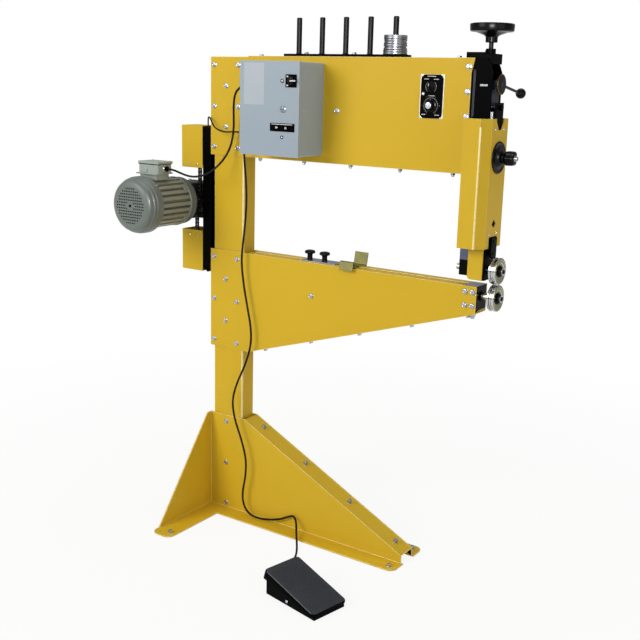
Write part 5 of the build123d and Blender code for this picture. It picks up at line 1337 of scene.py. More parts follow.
    def build_shaft_end(self, bench: Bench) -> None:
        """Builds the dished bearing flange, the other bearings and the lobed knob."""
        x, z = self.cover_end, self.shaft_z
        flange = lathe(eased([(0.0, 11.1), (0.0, 46.0), (2.6, 46.0), (4.0, 44.6), (4.2, 41.0), (2.8, 37.0),
                              (3.2, 30.0), (7.0, 26.0), (12.6, 23.4), (14.0, 21.0), (14.0, 11.1)], 1.6, 4),
                       (x, 0, z), X_AXIS, 80, True)
        others = [lathe(eased([(0.0, 11.1), (0.0, 27.0), (9.8, 27.0), (13.0, 24.0), (13.0, 11.1)], 0.8, 3),
                        (at, 0, height), X_AXIS, 48, True)
                  for at, height in ((-107.0, z), (-107.0, self.lower_shaft_z), (890.0, z))]
        bench.piece("bearing_flanges", together([flange] + others), BLACK_OXIDE, "frame", ["shaft_bearings"],
                    36.0)
        lobes = 6

        def waves(a: np.ndarray, w: np.ndarray) -> np.ndarray:
            """Radius factor: shallow hollows between the lobes on the grip, none on the neck."""
            grip = np.clip((a - 984.0) / 3.0, 0, 1)
            return 1 - grip * 0.16 * (0.5 - 0.5 * np.cos(lobes * w)) ** 1.5

        knob = lathe(eased([(974.6, 15.2), (976.0, 16.4), (982.0, 15.6), (985.0, 18.0), (987.0, 21.4),
                            (990.0, 22.0), (1006.0, 21.6), (1010.0, 20.0), (1012.0, 16.0), (1012.0, 9.0)],
                           1.4, 4), (0, 0, z), X_AXIS, 96, False, waves)
        bench.piece("shaft_knob_moulded", knob, PHENOLIC, "upper_shaft", ["shaft_knob"], 40.0)
        tip = lathe(eased([(0.0, 9.0), (1.6, 9.0), (2.2, 8.0), (2.2, 4.6), (6.2, 4.4), (7.0, 3.4)], 0.5, 3),
                    (1011.6, 0, z), X_AXIS, 32)
        bench.piece("shaft_tip", tip, ZINC, "upper_shaft")

    def fasten(self, bench: Bench) -> None:
        """Adds the head's fasteners and the small steel parts round the lift plate."""
        cover = [(self.cover_end, side * 30.0, 1403.0) for side in (-1, 1)]
        cover += [(self.cover_end, side * 24.0, 1107.0) for side in (-1, 1)]
        bench.piece("cover_screws", repeated(screw_head(3.8, 2.0), cover, X_AXIS), ZINC, "frame")
        strip = box_shape((939.2, -24.0, 1463.0), (940.6, 24.0, 1467.0))
        bench.piece("adjuster_wear_strip", strip, ZINC, "adjuster", (), 32.0, 0.4)
        bar = box_shape((905.0, -34.8, 1521.0), (929.0, -33.4, 1527.0))
        bench.piece("housing_gib", bar, DULL_ZINC, "frame", (), 32.0, 0.5)
        # A thin blued strip on the housing's front edge: a painted highlight, the blue-grey sheen of that
        # edge.
        edge = box_shape((883.5, -34.4, 1436.0), (890.5, -33.2, 1566.0))
        bench.piece("housing_edge_highlight", edge, BLUED_AND_EDGE_SHEEN, "frame", (), 32.0, 0.5)
        guide = box_shape((941.4, -31.0, 1424.0), (949.0, -7.0, 1452.0))
        bench.piece("head_guide_block", guide, ZINC, "frame", (), 32.0, 0.6)
        link = [(966.2, 0.0, z) for z in (1048.0, 1084.0)]
        bench.piece("keeper_screws", repeated(socket_head(4.6, 2.2), link, X_AXIS), BLACK_OXIDE,
                    "roll_carrier")
        rear = [box_shape((867.6, -20.4, 977.7), (902.9, 20.4, 1024.0)),
                box_shape((867.8, -20.2, 1024.0), (902.9, 20.2, 1056.3))]
        for name, shape, finish in zip(("carrier_rear_block", "carrier_rear_cap"), rear,
                                       (OILED_BLOCK, BLUED_BAR)):
            bench.piece(name, shape, finish, "roll_carrier", (), 32.0, 0.5)
        stops = [(949.9, s * 31.0, z) for s in (-1, 1) for z in (1108.0, 1166.0)]
        bench.piece("carrier_screws", repeated(screw_head(3.4, 1.8), stops, X_AXIS), ZINC, "roll_carrier")
        collar = [(self.screw_x + 14.0 * math.cos(w), 14.0 * math.sin(w), 1617.0) for w in (-2.3, -0.4)]
        pins = together([repeated(socket_head(2.6, 2.4), [spot], (spot[0] - self.screw_x, spot[1], 0))
                         for spot in collar])
        bench.piece("collar_screws", pins, BLACK_OXIDE, "frame")


@dataclass
class RollPair:
    """The two forming rolls with their nuts."""

    x: float = 968.0
    upper_z: float = 998.75
    lower_z: float = 918.1
    radius: float = 39.7

    def profile(self, bead: float) -> np.ndarray:
        """Section of a roll: two polished rims with a hollow, or a bead, between them.

        Args:
            bead: height of the bead, or 0.

        Returns:
            Points (a, r) of the ring.
        """
        waist = self.radius - 4.0
        return eased([(0.0, 11.1), (0.0, 30.0), (0.8, 31.0), (0.8, self.radius - 2.6), (2.4, self.radius),
                      (6.6, self.radius), (7.6, self.radius - 1.0), (8.8, waist), (10.2, waist + bead),
                      (13.8, waist + bead), (15.2, waist), (16.4, self.radius - 1.0), (17.4, self.radius),
                      (21.6, self.radius), (23.6, self.radius - 2.2), (23.8, 33.0), (22.6, 31.6),
                      (22.4, 26.0), (20.4, 24.0), (20.0, 11.1)], 0.5, 3)

    def nut(self, z: float) -> Shape:
        """Pointed hub nut: hexagon foot, washer and a rounded dome.

        Args:
            z: height of the shaft.

        Returns:
            Points and faces.
        """
        foot = repeated(hexagon_head(27.0, 7.0, 18.5), [(self.x + 19.9, 0, z)], X_AXIS)
        dome = lathe(eased([(0.0, 13.0), (2.0, 12.6), (6.0, 8.5), (9.6, 4.4), (9.6, 0.4)], 2.0, 4),
                     (self.x + 26.6, 0, z), X_AXIS, 40)
        return together([foot, dome])

    def build(self, bench: Bench) -> None:
        """Builds both rolls."""
        for name, body, z, bead in (("upper_roll", "upper_roll", self.upper_z, 0.0),
                                    ("lower_roll", "lower_spindle", self.lower_z, 2.0)):
            shape = lathe(self.profile(bead), (self.x, 0, z), X_AXIS, 96, True)
            roll = bench.piece(f"{name}_polished", shape, DIE_STEEL, body, [name], 28.0)
            bench.second_face(roll, OILED_DIE, X_AXIS)
            bench.piece(f"{name}_nut", self.nut(z), BLACK_OXIDE, body)
        collar = lathe(eased([(0.0, 11.2), (0.0, 14.5), (3.0, 14.5), (4.0, 13.5), (4.0, 11.2)], 0.6, 3),
                       (936.6, 0, self.lower_z), X_AXIS, 40, True)
        bench.piece("lower_shaft_collar", collar, OILED_BLOCK, "lower_spindle")
        upper = lathe(eased([(0.0, 11.2), (0.0, 16.0), (1.6, 16.0), (1.9, 11.2)], 0.3, 2),
                      (966.0, 0, self.lower_z), X_AXIS, 40, True)
        bench.piece("lower_roll_spacer", upper, DIE_STEEL, "lower_spindle")


@dataclass
class ControlBox:
    """Sheet enclosure with its door, latch, lights, isolator and the drive inside."""

    x: tuple = (157.0, 382.0)
    z: tuple = (1295.0, 1580.0)
    front: float = -172.0
    latch: tuple = (324.0, 1438.0)
    isolator: tuple = (353.0, 1522.0)
    terminals: tuple = (190.0, 350.0, 10.0)

    def build(self, bench: Bench) -> None:
        """Builds the box's pieces."""
        # Box and door take the pale fold finish on their bevels: a painted highlight along their edges.
        bench.refined("control_box", GREY_COAT, 1.6, fold=GREY_FOLD_HIGHLIGHT)
        bench.refined("control_box_door", GREY_COAT, 3.4, fold=GREY_FOLD_HIGHLIGHT)
        bench.refined("box_internals", DRIVE_CASE, 0.6)
        self.build_latch(bench)
        self.build_fittings(bench)
        self.build_inside(bench)

    def build_latch(self, bench: Bench) -> None:
        """Builds the quarter-turn latch: bezel, slotted barrel and tongue."""
        x, z = self.latch
        bezel = lathe(eased([(0.0, 5.1), (0.0, 10.6), (1.8, 10.4), (3.2, 8.2), (3.2, 5.1)], 0.6, 3),
                      (x, self.front, z), FRONT, 40, True)
        bench.piece("latch_bezel", bezel, DULL_ZINC, "box_door")
        barrel = lathe(eased([(-7.0, 4.9), (3.6, 4.9), (4.6, 4.2), (4.6, 0.4)], 0.5, 3),
                       (x, self.front, z), FRONT, 32)
        slot = box_shape((x - 4.6, self.front - 4.9, z - 1.2), (x + 4.6, self.front - 4.4, z + 1.2))
        bench.piece("latch_key_slot", slot, BLACK_OXIDE, "door_latch")
        tongue = box_shape((x, self.front + 5.0, z - 4.0), (x + 22.0, self.front + 7.5, z + 4.0))
        bench.piece("door_latch_finished", together([barrel, tongue]), DULL_ZINC, "door_latch",
                    ["door_latch"], 32.0, 0.4)

    def build_fittings(self, bench: Bench) -> None:
        """Builds the switch plate, the light plate, the lights, the isolator and the bare label film."""
        y = self.front
        switch_x, switch_z = self.isolator
        plates = together([
            front_plate(40.0, 38.0, 2.0, (switch_x, y, switch_z), 2.5),
            front_plate(92.0, 25.0, 1.6, (322.0, y, 1383.5), 1.5)])
        bench.piece("door_plates", plates, MOULDED, "box_door", ["door_fittings"], 32.0, 0.4)
        for k, (x, z) in enumerate(((303.0, 1383.0), (338.0, 1382.0))):
            bezel = lathe(eased([(0.0, 4.2), (0.0, 7.6), (2.4, 7.4), (3.4, 6.4), (3.4, 4.2)], 0.5, 3),
                          (x, y - 1.5, z), FRONT, 32, True)
            # The pale lens paints the white highlight of each light.
            lens = lathe(eased([(0.0, 4.2), (3.4, 4.1), (5.4, 3.2), (6.2, 1.8), (6.2, 0.3)], 1.2, 4),
                         (x, y - 1.5, z), FRONT, 32)
            bench.piece(f"light_bezel_{k + 1}", bezel, MOULDED, "box_door")
            bench.piece(f"light_lens_{k + 1}", lens, LENS, "box_door")
        body = lathe(eased([(0.0, 13.0), (3.0, 12.6), (4.0, 11.4), (4.0, 0.4)], 0.8, 3),
                     (switch_x, y - 2.5, switch_z), FRONT, 48)
        grip = front_plate(33.0, 7.0, 2.6, (switch_x + 7.0, y - 6.0, switch_z), 4.0)
        bench.piece("isolator_finished", together([body, grip]), PHENOLIC, "isolator_switch",
                    ["isolator_switch"], 32.0, 0.5)
        bars = together([
            box_shape((337.0, y - 2.9, 1533.0), (343.0, y - 2.4, 1537.0)),
            box_shape((337.0, y - 2.9, 1506.6), (343.0, y - 2.4, 1510.6)),
            box_shape((283.0, y - 1.9, 1391.6), (360.0, y - 1.4, 1393.6))])
        bench.piece("door_plate_marks", bars, WHITE_INK, "box_door")
        pointer = box_shape((354.0, y - 10.4, 1520.4), (375.0, y - 9.9, 1524.2))
        bench.piece("isolator_pointer", pointer, WHITE_INK, "isolator_switch")
        film = front_plate(78.0, 125.0, 2.0, (212.0, y, 1511.5), 0.35)
        bench.piece("door_bare_film", film, FILM, "box_door")
        screws = [(319.0, y, 1521.0), (321.0, y, 1354.0)]
        bench.piece("door_screws", repeated(screw_head(3.6, 2.6), screws, FRONT), ZINC, "box_door")
        ring = lathe(eased([(0.0, 3.8), (0.0, 5.8), (0.8, 5.7), (1.4, 5.0), (1.4, 3.8)], 0.3, 2),
                     (0, 0, 0), Z_AXIS, 32, True)
        bench.piece("door_screw_rings", repeated(ring, screws, FRONT), BLACK_OXIDE, "box_door")

    def build_inside(self, bench: Bench) -> None:
        """Adds the door's gasket and the terminals inside the box."""
        (x0, x1), (z0, z1) = self.x, self.z
        gasket = []
        for low, high in (((x0 + 6, z0 + 6), (x1 - 6, z0 + 12)), ((x0 + 6, z1 - 12), (x1 - 6, z1 - 6)),
                          ((x0 + 6, z0 + 12), (x0 + 12, z1 - 12)), ((x1 - 12, z0 + 12), (x1 - 6, z1 - 12))):
            gasket.append(box_shape((low[0], self.front + 2.4, low[1]),
                                    (high[0], self.front + 6.0, high[1])))
        bench.piece("door_gasket", together(gasket), MOULDED, "box_door")
        rail = [box_shape((x, -66.0, 1334.0), (x + 8.0, -60.5, 1361.0)) for x in np.arange(*self.terminals)]
        bench.piece("terminal_blocks", together(rail), DRIVE_CASE, "frame", (), 32.0, 0.4)
        keys = together([box_shape((214.0, -120.4, 1470.0), (268.0, -117.8, 1500.0)),
                         *[box_shape((x, -119.6, 1448.0), (x + 11.0, -117.8, 1458.0))
                           for x in (214.0, 228.5, 243.0, 257.0)]])
        bench.piece("drive_keypad", keys, MOULDED, "frame", (), 32.0, 0.5)


@dataclass
class ArmPanel:
    """Operator's panel on the arm: pale back plate, black face, switch, lamp and speed dial."""

    x: tuple = (719.0, 796.0)
    z: tuple = (1426.0, 1551.0)
    front: float = -41.0
    dial: tuple = (757.0, 1463.0)
    scale_ends: tuple = (240.0, -60.0)
    top_number: int = 10
    switch: tuple = (755.0, 1516.0)

    def build(self, bench: Bench) -> None:
        """Builds the panel's pieces."""
        middle = (sum(self.x) / 2, -38.0, sum(self.z) / 2)
        width, height = self.x[1] - self.x[0], self.z[1] - self.z[0]
        back = front_plate(width, height, 2.5, middle, 1.0)
        bench.piece("panel_back_plate", back, SATIN_PLATE, "frame", ["control_panel"], 32.0, 0.3)
        cut, w, h = 9.5, width / 2 - 3.0, height / 2 - 0.6
        outline = [(-w + cut, -h), (w - cut, -h), (w, -h + cut), (w, h - cut), (w - cut, h), (-w + cut, h),
                   (-w, h - cut), (-w, -h + cut)]
        face = drawn(outline, (middle[0], middle[1] - 0.9, middle[2]), X_AXIS, Z_AXIS, 2.1)
        bench.piece("panel_face", face, MOULDED, "frame", (), 32.0, 0.3)
        inset = 4.6
        corners = [(x, -38.9, z) for x in (self.x[0] + inset, self.x[1] - inset)
                   for z in (self.z[0] + inset, self.z[1] - inset)]
        bench.piece("panel_screws", repeated(screw_head(3.0, 2.2), corners, FRONT), ZINC, "frame")
        self.build_switch(bench)
        self.build_dial(bench)
        self.build_marks(bench)

    def build_switch(self, bench: Bench) -> None:
        """Builds the direction selector and the indicator lamp."""
        x, z = self.switch
        bezel = lathe(eased([(0.0, 11.4), (0.0, 14.6), (2.6, 14.2), (4.0, 12.6), (4.0, 11.4)], 0.6, 3),
                      (x, self.front, z), FRONT, 48, True)
        bench.piece("selector_bezel", bezel, BLACK_OXIDE, "frame")
        body = lathe(eased([(0.0, 11.0), (7.0, 10.8), (8.6, 9.8), (8.6, 0.4)], 0.8, 3),
                     (x, self.front, z), FRONT, 48)
        grip = front_plate(6.2, 21.5, 2.8, (x, self.front - 8.0, z), 9.0)
        bench.piece("selector_finished", together([body, grip]), PHENOLIC, "selector_knob",
                    ["selector_knob"], 32.0, 0.6)
        line = box_shape((x - 0.7, self.front - 17.3, z + 1.0), (x + 0.7, self.front - 16.9, z + 9.0))
        bench.piece("selector_pointer", line, WHITE_INK, "selector_knob")
        lamp = lathe(eased([(0.0, 5.0), (2.0, 4.8), (4.0, 3.6), (5.0, 1.4), (5.0, 0.3)], 1.0, 4),
                     (731.0, self.front, 1496.0), FRONT, 32)
        bench.piece("indicator_lamp", lamp, SATIN_PLATE, "frame")

    def build_dial(self, bench: Bench) -> None:
        """Builds the fluted speed dial with its bright cap and pointer."""
        x, z = self.dial

        def flutes(a: np.ndarray, w: np.ndarray) -> np.ndarray:
            """Radius factor: fine flutes on the grip only."""
            return 1 - np.clip((a - 5.0) / 1.5, 0, 1) * 0.035 * (0.5 + 0.5 * np.cos(24 * w))

        body = lathe(eased([(0.0, 19.6), (3.4, 19.2), (5.0, 14.6), (15.0, 13.8), (16.8, 12.4), (16.8, 9.4)],
                           0.8, 3), (x, self.front, z), FRONT, 144, False, flutes)
        bench.piece("speed_dial_finished", body, PHENOLIC, "speed_dial", ["speed_dial"], 34.0)
        cap = lathe(eased([(16.0, 9.6), (17.0, 9.4), (17.3, 8.4), (17.3, 0.4)], 0.4, 3),
                    (x, self.front, z), FRONT, 40)
        bench.piece("speed_dial_cap", cap, ZINC, "speed_dial")
        line = box_shape((x - 0.6, self.front - 4.4, z + 14.0), (x + 0.6, self.front - 3.4, z + 18.6))
        bench.piece("speed_dial_pointer", line, WHITE_INK, "speed_dial")

    def build_marks(self, bench: Bench) -> None:
        """Adds the dial's scale with its numbers, the plain bars by the switch, and the two arcs that paint
        the highlight on the selector's bezel.
        """
        x, z = self.dial
        ticks = []
        for w in np.radians(np.linspace(*self.scale_ends, 21)):
            direction = np.array((math.cos(w), 0.0, math.sin(w)))
            side = np.array((-math.sin(w), 0.0, math.cos(w)))
            start = np.array((x, self.front, z)) + direction * 22.4
            flat = [(0, -0.45), (2.8, -0.45), (2.8, 0.45), (0, 0.45)]
            ticks.append(drawn(flat, start, direction, side, 0.25))
        bench.piece("dial_scale", together(ticks), GREY_INK_AND_HIGHLIGHT, "frame")
        sx, sz = self.switch
        bars = [((sx - 13.0, 1544.6), (sx + 15.0, 1546.2)), ((sx - 23.0, 1536.6), (sx - 9.0, 1538.4)),
                ((sx + 8.0, 1536.2), (sx + 24.0, 1538.0)), ((x - 9.0, 1489.6), (x + 11.0, 1491.2)),
                ((x - 29.0, 1436.4), (x - 17.0, 1438.2)), ((x + 14.0, 1435.6), (x + 28.0, 1437.4))]
        shapes = [box_shape((low[0], self.front - 0.3, low[1]), (high[0], self.front + 0.2, high[1]))
                  for low, high in bars]
        bench.piece("panel_bars", together(shapes), WHITE_INK, "frame")
        # Two grey arcs either side of the selector: painted highlights on the edge of its bezel.
        arc = np.radians(np.linspace(40, 140, 16))
        for k, shift in enumerate((0.0, math.pi)):
            path = np.stack([sx + 17.0 * np.cos(arc + math.pi / 2 + shift), np.full(16, self.front - 0.1),
                             sz + 17.0 * np.sin(arc + math.pi / 2 + shift)], 1)
            bench.piece(f"selector_bezel_highlight_{k + 1}", tube(path, 0.9, 8), GREY_INK_AND_HIGHLIGHT, "frame")
        sweep = np.radians(np.linspace(*self.scale_ends, 41))
        ring = np.stack([x + 22.0 * np.cos(sweep), np.full(41, self.front - 0.1), z + 22.0 * np.sin(sweep)],
                        1)
        bench.piece("dial_arc", tube(ring, 0.8, 8), GREY_INK_AND_HIGHLIGHT, "frame")
        start, end = self.scale_ends
        for number in range(0, self.top_number + 1, 2):
            w = math.radians(start + (end - start) * number / self.top_number)
            self.number(bench, str(number), (x + 28.0 * math.cos(w), z + 28.0 * math.sin(w)))

    def number(self, bench: Bench, text: str, place: Point) -> None:
        """Writes one of the dial's numbers on the panel.

        Args:
            bench: where it is made.
            text: the number.
            place: its middle, as (x, z).
        """
        curve = bpy.data.curves.new(f"dial_number_{text}", "FONT")
        curve.body = text
        curve.size = 4.6 * MM
        curve.extrude = 0.12 * MM
        curve.align_x, curve.align_y = "CENTER", "CENTER"
        letters = placed(f"dial_number_{text}_curve", curve)
        bpy.context.view_layer.update()
        mesh = bpy.data.meshes.new_from_object(letters.evaluated_get(bpy.context.evaluated_depsgraph_get()))
        bpy.data.objects.remove(letters)
        turn = Matrix.Rotation(math.pi / 2, 4, "X")
        mesh.transform(Matrix.Translation(Vector((place[0], self.front - 0.1, place[1])) * MM) @ turn)
        bench.finished(placed(f"dial_number_{text}", mesh), GREY_INK_AND_HIGHLIGHT, "frame")


@dataclass
class ArmTop:
    """Die rack with its posts and the stored dies."""

    top: float = 1606.0
    post_top: float = 1716.0
    posts: tuple = tuple(257.0 + 87.6 * k for k in range(5))
    heights: tuple = (13.0, 16.0, 14.0, 12.0)
    rims: tuple = (36.4, 35.2, 34.6, 35.0)
    grooves: tuple = (1.4, 2.6, 1.8, 0.6)
    plate: tuple = (432.0, 440.0, 44.0, 8.0)

    def build(self, bench: Bench) -> None:
        """Builds the rack and the dies."""
        middle, length, width, thick = self.plate
        plate = drawn(rounded_rectangle(length, width, 3.0), (middle, 0.0, self.top - thick), X_AXIS, Y_AXIS,
                      thick)
        bench.piece("rack_plate", plate, BLACK_COAT, "frame", ["die_rack"], 32.0, 0.8)
        tall = self.post_top - self.top
        profile = eased([(-2.0, 1.0), (-2.0, 10.2), (1.6, 9.6), (2.4, 8.4), (tall - 2.0, 8.4), (tall, 6.4),
                         (tall, 1.0)], 0.8, 3)
        posts = [lathe(profile, (x, 0, self.top), Z_AXIS, 40) for x in self.posts]
        bench.piece("rack_posts", together(posts), BLACK_OXIDE, "frame", (), 34.0)
        self.build_dies(bench)

    def build_dies(self, bench: Bench) -> None:
        """Builds the stack of stored dies, each with its own groove."""
        seat, shapes = self.top, []
        for height, groove, rim in zip(self.heights, self.grooves, self.rims):
            outline = [(0.0, 8.5), (0.0, rim - 1.2), (1.0, rim), (height * 0.32, rim),
                       (height * 0.42, rim - groove),
                       (height * 0.58, rim - groove), (height * 0.68, rim), (height - 1.2, rim),
                       (height - 0.2, rim - 1.2), (height - 0.2, 26.0), (height - 1.2, 24.6),
                       (height - 1.2, 8.5)]
            shapes.append(lathe(eased(outline, 0.6, 3), (self.posts[-1], 0, seat), Z_AXIS, 96, True))
            seat += height + 0.3
        bench.piece("stored_dies_polished", together(shapes), STACKED_STEEL, "stored_dies", ["stored_dies"],
                    28.0)


@dataclass
class LowerArmTop:
    """Fence plate with its clamp knobs, and the sheet guide."""

    level: float = 951.0
    plate: float = 3.5
    knobs: tuple = (318.0, 376.0)
    guide_bolt: float = 490.0

    def build(self, bench: Bench) -> None:
        """Builds the fence and the guide."""
        bench.refined("fence_bar", BRIGHT_BAR, 0.5)
        for name, x in zip(("fence_knob_left", "fence_knob_right"), self.knobs):
            self.build_knob(bench, name, x)
        bench.refined("guide_bracket", OLIVE_ZINC, 1.6, 24.0)
        bolt = repeated(hexagon_head(13.0, 5.0, 8.0), [(self.guide_bolt, 0.0, self.level + 3.0)], Z_AXIS)
        bench.piece("guide_bolt", bolt, OLIVE_ZINC, "frame")

    def build_knob(self, bench: Bench, name: str, x: float) -> None:
        """Builds a clamp knob: fluted mushroom head on a slim neck, with its stud below."""
        foot = self.level + self.plate

        def flutes(a: np.ndarray, w: np.ndarray) -> np.ndarray:
            """Radius factor: soft hollows round the head's rim."""
            return 1 - np.clip((a - 19.0) / 2.0, 0, 1) * 0.06 * (0.5 + 0.5 * np.cos(12 * w))

        outline = eased([(0.0, 8.9), (14.0, 8.6), (18.0, 9.2), (19.4, 13.0), (21.0, 17.4), (26.5, 17.8),
                         (29.4, 15.0), (31.0, 9.0), (31.4, 0.5)], 1.8, 4)
        head = lathe(outline, (x, 0, foot), Z_AXIS, 96, False, flutes)
        stud = lathe([(0.0, 4.9), (18.0, 4.9)], (x, 0, foot - 16.2), Z_AXIS, 24)
        bench.piece(f"{name}_moulded", together([head, stud]), PHENOLIC, name, [name], 40.0)


@dataclass
class Pedal:
    """Foot pedal: base and treadle in their own turned plane."""

    place: tuple = (610.5, -409.0)
    yaw: float = -12.0
    length: float = 222.0
    width: float = 142.0
    back: float = 82.0
    front: float = 20.0
    back_skirt: float = 30.0
    toe_skirt: float = 7.0
    cheek: tuple = ((-98.0, 66.0), (100.0, 14.0), (8.0, 11.0), (-16.0, 11.0))
    pin: tuple = (-4.0, 19.0)
    rib_pitch: float = 7.0

    def build(self, bench: Bench) -> None:
        """Builds the pedal's pieces."""
        bench.refined("pedal_base", MOULDED, 1.6, 28.0)
        turn = math.radians(self.yaw)
        u = np.array((math.cos(turn), math.sin(turn), 0.0))
        v = np.array((-math.sin(turn), math.cos(turn), 0.0))
        origin = np.array((*self.place, 0.0))
        slope = np.array((self.length, 0.0, self.front - self.back))
        along = u * slope[0] + np.array((0.0, 0.0, slope[2]))
        along /= np.linalg.norm(along)
        up = np.cross(along, v)
        tilt_length = math.hypot(slope[0], slope[2])
        start = origin - u * self.length / 2 + np.array((0.0, 0.0, self.back))

        def ring(inset: float, low: float, radius: float, skirt: bool = False) -> np.ndarray:
            """Rounded outline of the treadle at some depth below its top; the skirt deepens to the back.

            Args:
                inset: how far it lies inside the rim.
                low: depth below the top.
                radius: of its corners.
                skirt: whether it follows the skirt.

            Returns:
                The outline's points.
            """
            flat = rounded_rectangle(tilt_length - 2 * inset, self.width - 2 * inset, radius)
            a = flat[:, :1] + tilt_length / 2
            depth = low + (self.back_skirt - low) * (1 - a / tilt_length) if skirt else low
            return start + along * a + v * flat[:, 1:] - up * depth

        lid = loft(np.stack([ring(4.5, 4.5, 9.0), ring(4.5, self.toe_skirt, 9.0, True),
                             ring(0.8, self.toe_skirt, 12.5, True), ring(1.2, 3.4, 12.5),
                             ring(2.0, 1.2, 12.0), ring(3.6, 0.2, 11.0), ring(5.0, 0.0, 10.0)]))
        cheeks = [drawn(self.cheek, origin + v * side, u, Z_AXIS, 3.5) for side in (-66.3, 69.8)]
        treadle = bench.piece("pedal_plate_moulded", together([lid] + cheeks), MOULDED, "pedal_plate",
                              ["pedal_plate"], 30.0)
        # The top takes the paler tread and the sides stay black: painted shade on the sides.
        bench.second_face(treadle, TREAD, up)
        # A pale tube along the near long edge of the top paints its highlight.
        edge = [start + along * a + v * (3.0 - self.width / 2) - up * 0.6
                for a in (14.0, tilt_length - 12.0)]
        bench.piece("treadle_edge_highlight", tube(np.linspace(*edge, 3), 1.3, 10), TREAD_HIGHLIGHT, "pedal_plate")
        ribs = []
        for a in np.arange(26.0, tilt_length - 20.0, self.rib_pitch):
            here = start + along * a + up * 0.05
            ribs.append(tube(np.linspace(here - v * 56.0, here + v * 56.0, 3), 0.55, 8))
        bench.piece("treadle_ribs", together(ribs), TREAD, "pedal_plate")
        pin = origin + u * self.pin[0] + np.array((0.0, 0.0, self.pin[1]))
        ends = [lathe(eased([(0.0, 0.5), (0.0, 5.0), (1.6, 5.0), (2.6, 3.8), (2.6, 0.5)], 0.5, 3),
                      pin + v * side * (self.width / 2 - 0.6), v * side, 24) for side in (-1, 1)]
        bench.piece("pedal_pin_ends", together(ends), ZINC, "frame")
        feet = [lathe(eased([(0.0, 0.5), (0.0, 8.0), (1.4, 8.0), (1.8, 7.0), (1.8, 0.5)], 0.4, 2),
                      origin + u * a + v * b + np.array((0, 0, 1.9)), DOWN, 24)
                for a in (-92.0, 92.0) for b in (-46.0, 46.0)]
        bench.piece("pedal_rubber_feet", together(feet), SHEATH, "frame")


